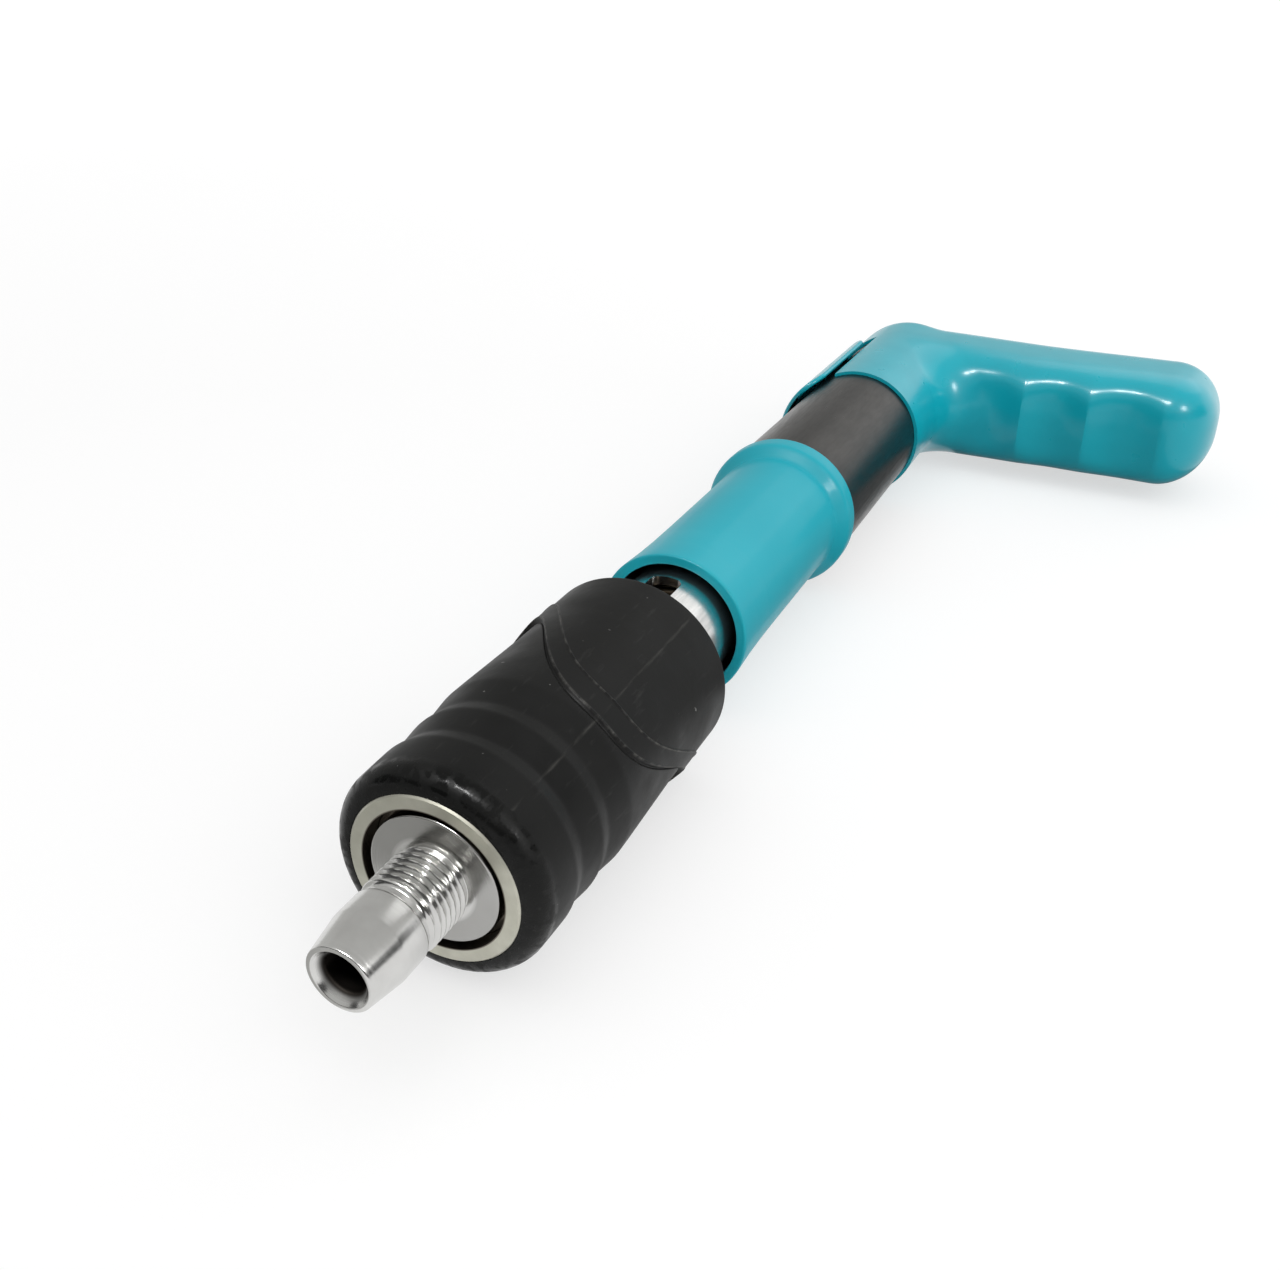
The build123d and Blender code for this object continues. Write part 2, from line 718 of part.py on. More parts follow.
# Release lever: curved thumb plate with a web on its underside, rocks on the lever pin
with BuildPart() as release_lever:
    tube(lever_front, lever_rear, lever_bore, lever_radius)
    lever_middle = (lever_front + lever_rear) / 2
    with BuildSketch(spoke(lever_middle, 180, hub_cut_height + lever_edge_gap)) as cover:
        RectangleRounded(lever_length, 2 * lever_radius, lever_end_radius)
    extrude(cover.sketch, lever_radius, mode=Mode.INTERSECT)
    web_foot = pivot_height - lever_web_depth
    with BuildSketch(spoke((web_front + sear_front) / 2, 180, web_foot)) as web:
        Rectangle(sear_front - web_front, lever_web_width)
    extrude(web.sketch, lever_bore + lever_wall / 2 - web_foot)
    peg(pivot_plane, pivot_radius + running_gap, pivot_length, Mode.SUBTRACT)
    for row in (-1, 1):
        rivet_height = -pivot_height + row * sear_rivet_pitch / 2
        rivet_plane = Plane((-sear_rear, rivet_height, 0), z_dir=(1, 0, 0))
        peg(rivet_plane, sear_rivet_radius, sear_rivet_length, Mode.SUBTRACT)
save(release_lever, "release_lever")

# Sear: hardened nose behind the web, stands clear of the rod until the lever drops
with BuildPart() as sear:
    sear_top = pivot_height + sear_height
    sear_tip = rod_radius + touch_gap
    with BuildSketch(spoke((sear_front + sear_rear) / 2, 180, sear_tip)) as nose:
        Rectangle(sear_thickness, sear_width)
    extrude(nose.sketch, sear_top - sear_tip)
    for row in (-1, 1):
        rivet_height = -pivot_height + row * sear_rivet_pitch / 2
        rivet_plane = Plane((-sear_rear, rivet_height, 0), z_dir=(1, 0, 0))
        peg(rivet_plane, sear_rivet_radius, sear_rivet_length, Mode.SUBTRACT)
save(sear, "sear")

# Sear rivets
with BuildPart() as sear_rivets:
    for row in (-1, 1):
        rivet_height = -pivot_height + row * sear_rivet_pitch / 2
        peg(Plane((-sear_rear, rivet_height, 0), z_dir=(1, 0, 0)), sear_rivet_radius,
            sear_rivet_length)
save(sear_rivets, "sear_rivets")

# Lever pin: pressed into the receiver across its window
with BuildPart() as lever_pin:
    peg(pivot_plane, pivot_radius, pivot_length)
save(lever_pin, "lever_pin")

# Lever spring: lifts the front of the lever off the receiver
lever_spring_foot = pocket_floor + lever_wire / 2 + slide_gap
lever_spring_top = lever_bore - lever_wire / 2 - slide_gap
with BuildPart() as lever_spring:
    coil(
        spoke(spring_station, 180, lever_spring_foot),
        lever_coil_radius,
        lever_wire,
        lever_turns,
        lever_spring_top - lever_spring_foot,
    )
save(lever_spring, "lever_spring")
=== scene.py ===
import bmesh
import bpy
import numpy as np
from mathutils import Matrix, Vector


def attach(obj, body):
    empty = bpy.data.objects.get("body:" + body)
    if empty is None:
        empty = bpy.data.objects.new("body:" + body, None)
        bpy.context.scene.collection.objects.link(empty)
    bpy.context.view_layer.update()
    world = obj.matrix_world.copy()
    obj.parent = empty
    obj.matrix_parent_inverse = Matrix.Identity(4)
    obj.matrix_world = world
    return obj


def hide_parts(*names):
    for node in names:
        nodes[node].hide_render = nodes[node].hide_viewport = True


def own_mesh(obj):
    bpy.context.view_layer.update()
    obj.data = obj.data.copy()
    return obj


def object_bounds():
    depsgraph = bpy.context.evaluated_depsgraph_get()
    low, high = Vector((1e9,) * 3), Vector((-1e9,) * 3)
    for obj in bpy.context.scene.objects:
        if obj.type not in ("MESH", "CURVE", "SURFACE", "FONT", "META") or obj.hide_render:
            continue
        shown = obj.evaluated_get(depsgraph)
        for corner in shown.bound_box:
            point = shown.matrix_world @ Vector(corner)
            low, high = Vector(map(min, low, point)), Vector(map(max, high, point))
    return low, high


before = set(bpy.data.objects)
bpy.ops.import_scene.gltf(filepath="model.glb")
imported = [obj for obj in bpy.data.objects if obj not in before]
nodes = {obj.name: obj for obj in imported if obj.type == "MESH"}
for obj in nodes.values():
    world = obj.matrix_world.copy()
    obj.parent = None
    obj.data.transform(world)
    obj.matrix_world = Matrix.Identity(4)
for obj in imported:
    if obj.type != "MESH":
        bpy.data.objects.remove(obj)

cad_box = [list(corner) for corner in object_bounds()]

# Nozzle: one steel turning, chromed after it is cut. A tapered tip, a neck with a cut thread and
# a flange that the guide tube is clamped against. Into the bore the colour goes near black and
# the surface rougher.
MM = 0.001


def linear(colour):
    """Linear RGBA of an sRGB hex value: the sRGB curve undone for each of its three bytes."""
    byte = np.array([int(colour[place:place + 2], 16) for place in (1, 3, 5)]) / 255
    part = np.where(byte <= 0.04045, byte / 12.92, ((byte + 0.055) / 1.055) ** 2.4)
    return (*part.tolist(), 1.0)


def add_node(tree, kind, settings, links=None):
    """Add a node, set its sockets and properties by name or number, and link into its sockets."""
    made = tree.nodes.new(kind)
    for name, value in settings.items():
        if isinstance(name, int) or name in made.inputs:
            made.inputs[name].default_value = value
        else:
            setattr(made, name, value)
    for name, (source, output) in (links or {}).items():
        tree.links.new(source.outputs[output], made.inputs[name])
    return made


def start_finish(name, settings):
    """A new material with these constants on its shader, and its object coordinates."""
    made = bpy.data.materials.new(name)
    made.use_nodes = True
    shader = made.node_tree.nodes["Principled BSDF"]
    for socket, value in settings.items():
        shader.inputs[socket].default_value = value
    place = add_node(made.node_tree, "ShaderNodeTexCoord", {})
    return made, made.node_tree, shader, place


def rounded(corners, steps=5):
    """Closed turned outline in mm. Each corner (station, radius, fillet) becomes a quadratic
    curve between the two points that lie one fillet from it along its edges."""
    corners = np.array(corners, float)
    spot, fillet = corners[:, :2], corners[:, 2:]
    back, ahead = np.roll(spot, 1, 0) - spot, np.roll(spot, -1, 0) - spot
    back_length = np.linalg.norm(back, axis=1, keepdims=True)
    ahead_length = np.linalg.norm(ahead, axis=1, keepdims=True)
    start = spot + back * np.minimum(fillet / back_length, 0.49)
    end = spot + ahead * np.minimum(fillet / ahead_length, 0.49)
    share = np.linspace(0, 1, steps)[None, :, None]
    curve = start[:, None] * (1 - share) ** 2 + end[:, None] * share**2
    return (curve + spot[:, None] * 2 * share * (1 - share)).reshape(-1, 2)


def turned(station, radius, columns):
    """Rings of a turned surface in mm: X is minus the station, and the radius is laid out by its
    cosine on Y and its sine on Z. Both have one number for a ring or one for each angle."""
    angle = np.linspace(0, 2 * np.pi, columns, endpoint=False)
    radius = np.broadcast_to(radius, (len(station), columns))
    along = np.broadcast_to(-np.reshape(station, (len(station), -1)), radius.shape)
    return np.stack([along, radius * np.cos(angle), radius * np.sin(angle)], -1)


def skin(name, rings, ring_path=False, crease=35):
    """Mesh piece over a grid of points in mm. Rows follow the path and columns go round and
    close. The path closes too, or each end ring is closed by a fan round its middle. The sign
    of the enclosed volume tells whether the faces have to be turned over to point outwards."""
    rows, columns = rings.shape[:2]
    points, count = rings.reshape(-1, 3), rows * columns
    place = np.arange(count).reshape(rows, columns)
    near = place if ring_path else place[:-1]
    far = np.roll(place, -1, 0) if ring_path else place[1:]
    quads = np.stack([near, np.roll(near, -1, 1), np.roll(far, -1, 1), far], -1).reshape(-1, 4)
    fans = np.zeros((0, 3), int)
    if not ring_path:
        points = np.concatenate([points, rings[[0, -1]].mean(1)])
        first = np.stack([np.roll(place[0], -1), place[0], np.full(columns, count)], -1)
        last = np.stack([place[-1], np.roll(place[-1], -1), np.full(columns, count + 1)], -1)
        fans = np.concatenate([first, last])
    corner = points[np.concatenate([quads[:, [0, 1, 2]], quads[:, [0, 2, 3]], fans])]
    if np.einsum("ij,ij->", corner[:, 0], np.cross(corner[:, 1], corner[:, 2])) < 0:
        quads, fans = quads[:, ::-1], fans[:, ::-1]
    mesh = bpy.data.meshes.new(name)
    mesh.from_pydata((points * MM).tolist(), [], quads.tolist() + fans.tolist())
    mesh.shade_smooth()
    mesh.set_sharp_from_angle(angle=np.radians(crease))
    piece = bpy.data.objects.new(name, mesh)
    bpy.context.scene.collection.objects.link(piece)
    return piece


def fit(piece, finish, body, slot, *stood_for):
    """Give a new piece its finish and its body, and hide the CAD nodes it stands for. The slot is
    not used.
    """
    piece.data.materials.append(finish)
    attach(piece, body)
    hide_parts(*stood_for)


def dress(finish, *names):
    """Give CAD nodes that keep their own shape a finish."""
    for name in names:
        nodes[name].data.materials.clear()
        nodes[name].data.materials.append(finish)


def from_axis(tree, place):
    """The node for a point's distance from the barrel axis: the length of its Y and Z alone."""
    across = add_node(
        tree, "ShaderNodeVectorMath", {"operation": "MULTIPLY", 1: (0, 1, 1)},
        {0: (place, "Object")},
    )
    return add_node(
        tree, "ShaderNodeVectorMath", {"operation": "LENGTH"}, {0: (across, "Vector")}
    )


# Chrome on turned steel: a neutral mirror, broken by rings that the lathe tool left. The rings
# are drawn 0.4 mm apart, coarser than real ones, so that they show. The flange is painted darker:
# a painted shade for the darker reflection off its face.
chrome_nozzle, tree, shader, place = start_finish(
    "chrome_plate_turned", {"Metallic": 1.0, "Anisotropic": 0.5}
)
axes = add_node(tree, "ShaderNodeSeparateXYZ", {}, {"Vector": (place, "Object")})
radius = from_axis(tree, place)
tool_path = add_node(
    tree, "ShaderNodeMath", {"operation": "ADD"}, {0: (axes, "X"), 1: (radius, "Value")}
)
tool_rings = add_node(
    tree, "ShaderNodeTexNoise",
    {"noise_dimensions": "1D", "Scale": 1 / (0.4 * MM), "Detail": 3.0},
    {"W": (tool_path, "Value")},
)
smudges = add_node(
    tree, "ShaderNodeTexNoise", {"Scale": 1 / (5 * MM), "Detail": 4.0},
    {"Vector": (place, "Object")},
)
# Into the bore, from the mouth inward, the colour goes near black and the roughness rises.
into_bore = add_node(
    tree, "ShaderNodeMapRange",
    {"From Min": 5.3 * MM, "From Max": 4.2 * MM, "interpolation_type": "SMOOTHSTEP"},
    {"Value": (radius, "Value")},
)
plate = add_node(
    tree, "ShaderNodeMix",
    {"data_type": "RGBA", 6: linear("#DCDCDA"), 7: linear("#C4C3C1")},
    {0: (smudges, "Fac")},
)
# Painted shade: the flange's colour is made darker for the darker reflection off its face.
flange_painted_shade = add_node(
    tree, "ShaderNodeMapRange", {"From Min": 8.3 * MM, "From Max": 9.2 * MM, "To Max": 0.6},
    {"Value": (radius, "Value")},
)
plate = add_node(
    tree, "ShaderNodeMix", {"data_type": "RGBA", 7: linear("#8A8986")},
    {0: (flange_painted_shade, "Result"), 6: (plate, 2)},
)
bore_darkened = add_node(
    tree, "ShaderNodeMix", {"data_type": "RGBA", 7: linear("#2B2825")},
    {0: (into_bore, "Result"), 6: (plate, 2)},
)
dull = add_node(
    tree, "ShaderNodeMapRange", {"To Min": 0.14, "To Max": 0.26},
    {"Value": (tool_rings, "Fac")},
)
bore_roughness = add_node(
    tree, "ShaderNodeMath", {"operation": "MULTIPLY_ADD", 1: 0.4},
    {0: (into_bore, "Result"), 2: (dull, "Result")},
)
cut = add_node(
    tree, "ShaderNodeBump", {"Strength": 0.3, "Distance": 0.03 * MM},
    {"Height": (tool_rings, "Fac")},
)
tree.links.new(bore_darkened.outputs[2], shader.inputs["Base Color"])
tree.links.new(bore_roughness.outputs["Value"], shader.inputs["Roughness"])
tree.links.new(cut.outputs["Normal"], shader.inputs["Normal"])

mouth_radius, tip_edge, tip_radius, taper_rear, tip_rear = 5.7, 6.6, 7.9, 8.0, 13.8
neck_front, neck_radius = 14.1, 7.1
thread_front, thread_rear, thread_pitch, thread_depth = 15.2, 25.7, 1.5, 0.9
run_in, run_out, root_share, flank_share = 1.2, 0.6, 0.08, 0.78
flange_front, flange_rear, flange_radius = 26.82, 30.82, 13.5
spigot_rear, spigot_radius, bore_radius, flare_rear = 44.82, 8.5, 4.0, 1.8
tip_corners, corner_rows, thread_rows, nozzle_columns = 5, 5, 150, 144
outline = rounded([
    (0, mouth_radius, 0.12), (0, tip_edge, 0.35), (taper_rear, tip_radius, 0.2),
    (tip_rear, tip_radius, 0.35), (neck_front, neck_radius, 0.12),
    (thread_rear + 0.2, neck_radius, 0.1), (flange_front, neck_radius, 0.25),
    (flange_front, flange_radius, 0.5), (flange_rear, flange_radius, 0.3),
    (flange_rear, spigot_radius, 0.1), (spigot_rear, spigot_radius, 0.3),
    (spigot_rear, bore_radius, 0.2), (flare_rear, bore_radius, 0.4),
], corner_rows)
threaded = np.linspace(neck_front + 0.3, thread_rear, thread_rows)
neck = np.stack([threaded, np.full(thread_rows, neck_radius)], 1)
neck_start = tip_corners * corner_rows
outline = np.insert(outline, neck_start, neck, axis=0)
on_neck = np.zeros((len(outline), 1))
on_neck[neck_start:neck_start + thread_rows, 0] = (
    np.clip((threaded - thread_front) / run_in, 0, 1)
    * np.clip((thread_rear - threaded) / run_out, 0, 1)
)
angle = np.linspace(0, 2 * np.pi, nozzle_columns, endpoint=False)
phase = outline[:, :1] / thread_pitch - angle / (2 * np.pi)
crest = 1 - np.abs(2 * (phase % 1) - 1)
crest = np.clip((crest - root_share) / flank_share, 0, 1)
girth = outline[:, 1:] + thread_depth * crest * on_neck
nozzle = skin("nozzle_turning", turned(outline[:, 0], girth, nozzle_columns), ring_path=True)
fit(nozzle, chrome_nozzle, "frame", "chrome", "nozzle")

# Barrel, breech plug, spring seat, rod guide and rear plug: plain steel turnings inside the
# tubes, oiled and never seen with the tool closed.
turned_steel, tree, shader, place = start_finish("oiled_turned_steel", {"Metallic": 1.0})
axes = add_node(tree, "ShaderNodeSeparateXYZ", {}, {"Vector": (place, "Object")})
tool_rings = add_node(
    tree, "ShaderNodeTexNoise",
    {"noise_dimensions": "1D", "Scale": 1 / (0.5 * MM), "Detail": 2.0},
    {"W": (axes, "X")},
)
oil = add_node(
    tree, "ShaderNodeTexNoise", {"Scale": 1 / (8 * MM), "Detail": 3.0},
    {"Vector": (place, "Object")},
)
steel = add_node(
    tree, "ShaderNodeMix",
    {"data_type": "RGBA", 6: linear("#8B8B8A"), 7: linear("#5F5C58")}, {0: (oil, "Fac")},
)
dull = add_node(
    tree, "ShaderNodeMapRange", {"To Min": 0.22, "To Max": 0.5},
    {"Value": (tool_rings, "Fac")},
)
tree.links.new(steel.outputs[2], shader.inputs["Base Color"])
tree.links.new(dull.outputs["Result"], shader.inputs["Roughness"])
dress(turned_steel, "barrel", "breech_plug", "spring_seat", "rod_guide", "rear_plug")

# Firing pin, drive keys, hammer, rod, sear, rivets and lever pin: hardened and ground steel,
# blue-grey from the quench, with fine grinding lines.
hard_steel, tree, shader, place = start_finish("ground_hardened_steel", {"Metallic": 1.0})
stretch = add_node(
    tree, "ShaderNodeMapping", {"Scale": (1, 12, 12)}, {"Vector": (place, "Object")}
)
grinding = add_node(
    tree, "ShaderNodeTexNoise", {"Scale": 1 / (6 * MM), "Detail": 5.0},
    {"Vector": (stretch, "Vector")},
)
quench = add_node(
    tree, "ShaderNodeMix",
    {"data_type": "RGBA", 6: linear("#7C8088"), 7: linear("#54575D")}, {0: (grinding, "Fac")},
)
dull = add_node(
    tree, "ShaderNodeMapRange", {"To Min": 0.2, "To Max": 0.42}, {"Value": (grinding, "Fac")}
)
tree.links.new(quench.outputs[2], shader.inputs["Base Color"])
tree.links.new(dull.outputs["Result"], shader.inputs["Roughness"])
dress(
    hard_steel, "firing_pin", "drive_keys", "hammer", "hammer_rod", "sear", "sear_rivets",
    "lever_pin",
)

# Screws: small alloy screws that lock barrel, tubes and keys, blacked in hot oil, with a fine
# grey scale where the oil burned off.
blacked, tree, shader, place = start_finish("oil_blacked_screws", {"Metallic": 1.0})
scale = add_node(
    tree, "ShaderNodeTexNoise", {"Scale": 1 / (0.8 * MM), "Detail": 4.0},
    {"Vector": (place, "Object")},
)
black = add_node(
    tree, "ShaderNodeMix",
    {"data_type": "RGBA", 6: linear("#2A2A2B"), 7: linear("#454443")}, {0: (scale, "Fac")},
)
dull = add_node(
    tree, "ShaderNodeMapRange", {"To Min": 0.3, "To Max": 0.55}, {"Value": (scale, "Fac")}
)
tree.links.new(black.outputs[2], shader.inputs["Base Color"])
tree.links.new(dull.outputs["Result"], shader.inputs["Roughness"])
dress(blacked, "barrel_screws", "key_screws", "tube_screws")

# Buffer ring: cast urethane, amber and slightly cloudy, that the hammer comes to rest on. It
# sits behind the breech plug and isn't seen.
urethane, tree, shader, place = start_finish(
    "cast_urethane", {"Roughness": 0.4, "Subsurface Weight": 0.2}
)
cloud = add_node(
    tree, "ShaderNodeTexNoise", {"Scale": 1 / (3 * MM), "Detail": 3.0},
    {"Vector": (place, "Object")},
)
amber = add_node(
    tree, "ShaderNodeMix",
    {"data_type": "RGBA", 6: linear("#C48A3A"), 7: linear("#A66E28")}, {0: (cloud, "Fac")},
)
tree.links.new(amber.outputs[2], shader.inputs["Base Color"])
dress(urethane, "buffer_ring")


# Firing pin spring and main spring: drawn carbon-steel wire, coiled cold, with closed and
# ground ends. The main spring shows brown and oily through the slots.
def coil_spring(name, start, outward, axis, radius, wire, turns, length):
    """Round wire carried along a helix. The climb is an even pitch with its first and last
    turn closed up to one wire, and the wire's circle stands on the spoke and the climb."""
    rows_a_turn, wire_columns = 28, 12
    step = np.linspace(0, turns, rows_a_turn * turns + 1)
    closed = np.clip(np.minimum(step, turns - step), 0, 1)
    pitch = wire + (closed**2 * (3 - 2 * closed)) * (length / turns)
    climb = np.concatenate([[0], np.cumsum((pitch[1:] + pitch[:-1]) / 2)])
    climb = wire / 2 + climb / climb[-1] * (length - wire)
    axis, outward = np.array(axis, float), np.array(outward, float)
    sideways = np.cross(axis, outward)
    turn = 2 * np.pi * step[:, None]
    spoke = np.cos(turn) * outward + np.sin(turn) * sideways
    middle = np.array(start, float) + climb[:, None] * axis + radius * spoke
    round_wire = np.linspace(0, 2 * np.pi, wire_columns, endpoint=False)[None, :, None]
    rings = np.cos(round_wire) * spoke[:, None] + np.sin(round_wire) * axis
    return skin(name, middle[:, None] + wire / 2 * rings)


spring_steel, tree, shader, place = start_finish("drawn_spring_wire", {"Metallic": 1.0})
stain = add_node(
    tree, "ShaderNodeTexNoise", {"Scale": 1 / (4 * MM), "Detail": 5.0},
    {"Vector": (place, "Object")},
)
brown = add_node(
    tree, "ShaderNodeMix",
    {"data_type": "RGBA", 6: linear("#6E6252"), 7: linear("#3A342D")}, {0: (stain, "Fac")},
)
dull = add_node(
    tree, "ShaderNodeMapRange", {"To Min": 0.3, "To Max": 0.6}, {"Value": (stain, "Fac")}
)
tree.links.new(brown.outputs[2], shader.inputs["Base Color"])
tree.links.new(dull.outputs["Result"], shader.inputs["Roughness"])

pin_spring_foot, main_spring_foot = -67.12, -198.82
pin_spring = coil_spring(
    "pin_spring_wire", (pin_spring_foot, 0, 0), outward=(0, 0, 1), axis=(-1, 0, 0),
    radius=3.3, wire=0.7, turns=6, length=10.6,
)
fit(pin_spring, spring_steel, "frame", "spring_steel", "firing_pin_spring")
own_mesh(pin_spring)
main_spring = coil_spring(
    "main_spring_wire", (main_spring_foot, 0, 0), outward=(0, 0, 1), axis=(1, 0, 0),
    radius=9.6, wire=2.4, turns=16, length=84.0,
)
fit(main_spring, spring_steel, "frame", "spring_steel", "main_spring")
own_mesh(main_spring)

# Guide tube: drawn steel tube with three milled slots, chromed so that the sleeve slides. Its
# front end is painted dark, a painted shade in the gap round the flange where it shows.
chrome_tube, tree, shader, place = start_finish("chrome_plate_drawn", {"Metallic": 1.0})
stretch = add_node(
    tree, "ShaderNodeMapping", {"Scale": (1, 9, 9)}, {"Vector": (place, "Object")}
)
rubbed = add_node(
    tree, "ShaderNodeTexNoise", {"Scale": 1 / (9 * MM), "Detail": 5.0},
    {"Vector": (stretch, "Vector")},
)
plate = add_node(
    tree, "ShaderNodeMix",
    {"data_type": "RGBA", 6: linear("#E6E6E4"), 7: linear("#C2C2C1")}, {0: (rubbed, "Fac")},
)
dull = add_node(
    tree, "ShaderNodeMapRange", {"To Min": 0.12, "To Max": 0.28}, {"Value": (rubbed, "Fac")}
)
axes = add_node(tree, "ShaderNodeSeparateXYZ", {}, {"Vector": (place, "Object")})
# Painted shade: the front end is made dark where it shows in the gap round the flange.
gap_shade = add_node(
    tree, "ShaderNodeMapRange",
    {"From Min": -44 * MM, "From Max": -36 * MM, "interpolation_type": "SMOOTHSTEP"},
    {"Value": (axes, "X")},
)
gap_shaded = add_node(
    tree, "ShaderNodeMix", {"data_type": "RGBA", 7: linear("#5E5850")},
    {0: (gap_shade, "Result"), 6: (plate, 2)},
)
tree.links.new(gap_shaded.outputs[2], shader.inputs["Base Color"])
tree.links.new(dull.outputs["Result"], shader.inputs["Roughness"])
dress(chrome_tube, "guide_tube")

# Slide sleeve: steel tube, zinc plated and passivated, with the rubber grip pressed over it.
# Only its front rim shows, a pale ring with a warm cast round the flange.
zinc, tree, shader, place = start_finish("passivated_zinc_plate", {"Metallic": 1.0})
bloom = add_node(
    tree, "ShaderNodeTexNoise", {"Scale": 1 / (3 * MM), "Detail": 6.0},
    {"Vector": (place, "Object")},
)
pale = add_node(
    tree, "ShaderNodeMix",
    {"data_type": "RGBA", 6: linear("#CCCBBE"), 7: linear("#B0AFA2")}, {0: (bloom, "Fac")},
)
dull = add_node(
    tree, "ShaderNodeMapRange", {"To Min": 0.28, "To Max": 0.5}, {"Value": (bloom, "Fac")}
)
grit = add_node(
    tree, "ShaderNodeTexNoise", {"Scale": 1 / (0.3 * MM), "Detail": 2.0},
    {"Vector": (place, "Object")},
)
rough = add_node(
    tree, "ShaderNodeBump", {"Strength": 0.15, "Distance": 0.03 * MM},
    {"Height": (grit, "Fac")},
)
radius = from_axis(tree, place)
# Painted shade: the edge of the bore is made dark where it meets the gap round the flange.
gap_shade = add_node(
    tree, "ShaderNodeMapRange", {"From Min": 15.15 * MM, "From Max": 14.95 * MM},
    {"Value": (radius, "Value")},
)
gap_shaded = add_node(
    tree, "ShaderNodeMix", {"data_type": "RGBA", 7: linear("#5E5850")},
    {0: (gap_shade, "Result"), 6: (pale, 2)},
)
tree.links.new(gap_shaded.outputs[2], shader.inputs["Base Color"])
tree.links.new(dull.outputs["Result"], shader.inputs["Roughness"])
tree.links.new(rough.outputs["Normal"], shader.inputs["Normal"])
dress(zinc, "slide_sleeve")

# Rubber grip: one moulding of hard black rubber, with a round nose, two soft ring grooves, a
# wavy raised band and a mould line along it. It is stretched over the sleeve and rides with it.
grip_front, grip_rear, grip_bore = 26.82, 108.42, 17.9
nose_radius, tail_round, band_width, edge_zone = 4.2, 0.6, 7.0, 1.4
band_front, band_swing, step_run = 62.2, 31.0, 0.6
band_rise, lip_rise, flash_rise, crease_drop, ahead_drop = 0.25, 0.13, 0.1, 0.3, 0.7
fold_station = [31, 39.0, 42.2, 49.2, 52.6, 60, 64, 108]
fold_radius = [22.3, 22.45, 21.6, 22.45, 21.85, 22.85, 22.9, 22.9]
grip_columns, mould_column, nose_rows, tail_rows = 320, 44, 14, 5
angle = np.linspace(0, 2 * np.pi, grip_columns, endpoint=False)
away = angle - angle[mould_column]
band_edge = band_front + band_swing * np.abs(np.sin(away)) ** 3
nose_turn = np.linspace(0, np.pi / 2, nose_rows)[:, None]
tail_turn = np.linspace(0, np.pi / 2, tail_rows + 1)[1:, None]
level = np.ones_like(angle)
edge_run = np.linspace(-edge_zone, edge_zone, 27)[:, None]
nose_rear, tail_front = grip_front + nose_radius, grip_rear - tail_round
front_run = nose_rear + np.linspace(0, 1, 92)[1:-1, None] * (band_edge - edge_zone - nose_rear)
band_run = band_edge + np.linspace(edge_zone, band_width - edge_zone, 10)[1:-1, None]
rear_start = band_edge + band_width + edge_zone
rear_run = rear_start + np.linspace(0, 1, 42)[1:, None] * (tail_front - rear_start)
outside = np.concatenate([
    level * (grip_front + nose_radius * (1 - np.cos(nose_turn))), front_run, band_edge + edge_run,
    band_run, band_edge + band_width + edge_run, rear_run,
    level * (tail_front + tail_round * np.sin(tail_turn)),
])
fine = np.linspace(grip_front, grip_rear, 560)
soften = np.hanning(13) / np.hanning(13).sum()
folds = np.pad(np.interp(fine, fold_station, fold_radius), len(soften) // 2, "edge")
girth = np.interp(outside, fine, np.convolve(folds, soften, "valid"))
girth[:nose_rows] -= nose_radius * (1 - np.sin(nose_turn))
girth[-tail_rows:] -= tail_round * (1 - np.cos(tail_turn))
past_edge = outside - band_edge
into_band = np.minimum(past_edge, band_width - past_edge)
raised = np.clip(into_band / step_run + 0.5, 0, 1)
lip = np.exp(-((into_band - 0.35) / 0.3) ** 2)
crease = np.exp(-((past_edge + 0.55) / 0.4) ** 2)
ahead = np.clip((band_edge - 66) / 6, 0, 1) * np.clip((outside - 60) / 26, 0, 1)
ahead = ahead * np.clip(0.5 - past_edge / step_run, 0, 1)
flash = np.exp(-((np.angle(np.exp(2j * away)) / 2 * 23) / 0.16) ** 2)
moulded = np.ones((len(outside), 1))
moulded[:nose_rows] = moulded[-tail_rows:] = 0
relief = band_rise * raised**2 * (3 - 2 * raised) + lip_rise * lip + flash_rise * flash
relief = (relief - ahead_drop * ahead - crease_drop * crease) * moulded
bore = np.full((1, grip_columns), grip_bore)
grip = skin(
    "grip_moulding",
    turned(
        np.concatenate([outside, [level * grip_rear, level * grip_front]]),
        np.concatenate([girth + relief, bore, bore]), grip_columns,
    ),
    ring_path=True, crease=60,
)
# The band's lip and the mould line are marked for a pale colour: scuffs, and in part a painted
# highlight along these raised edges.
scuffed_and_highlit_edge = np.zeros((len(outside) + 2, grip_columns), np.float32)
scuffed_and_highlit_edge[:-2] = np.clip((lip + 0.5 * flash) * moulded, 0, 1)
grip.data.attributes.new("scuffed_and_highlit_edge", "FLOAT", "POINT").data.foreach_set(
    "value", scuffed_and_highlit_edge.ravel()
)

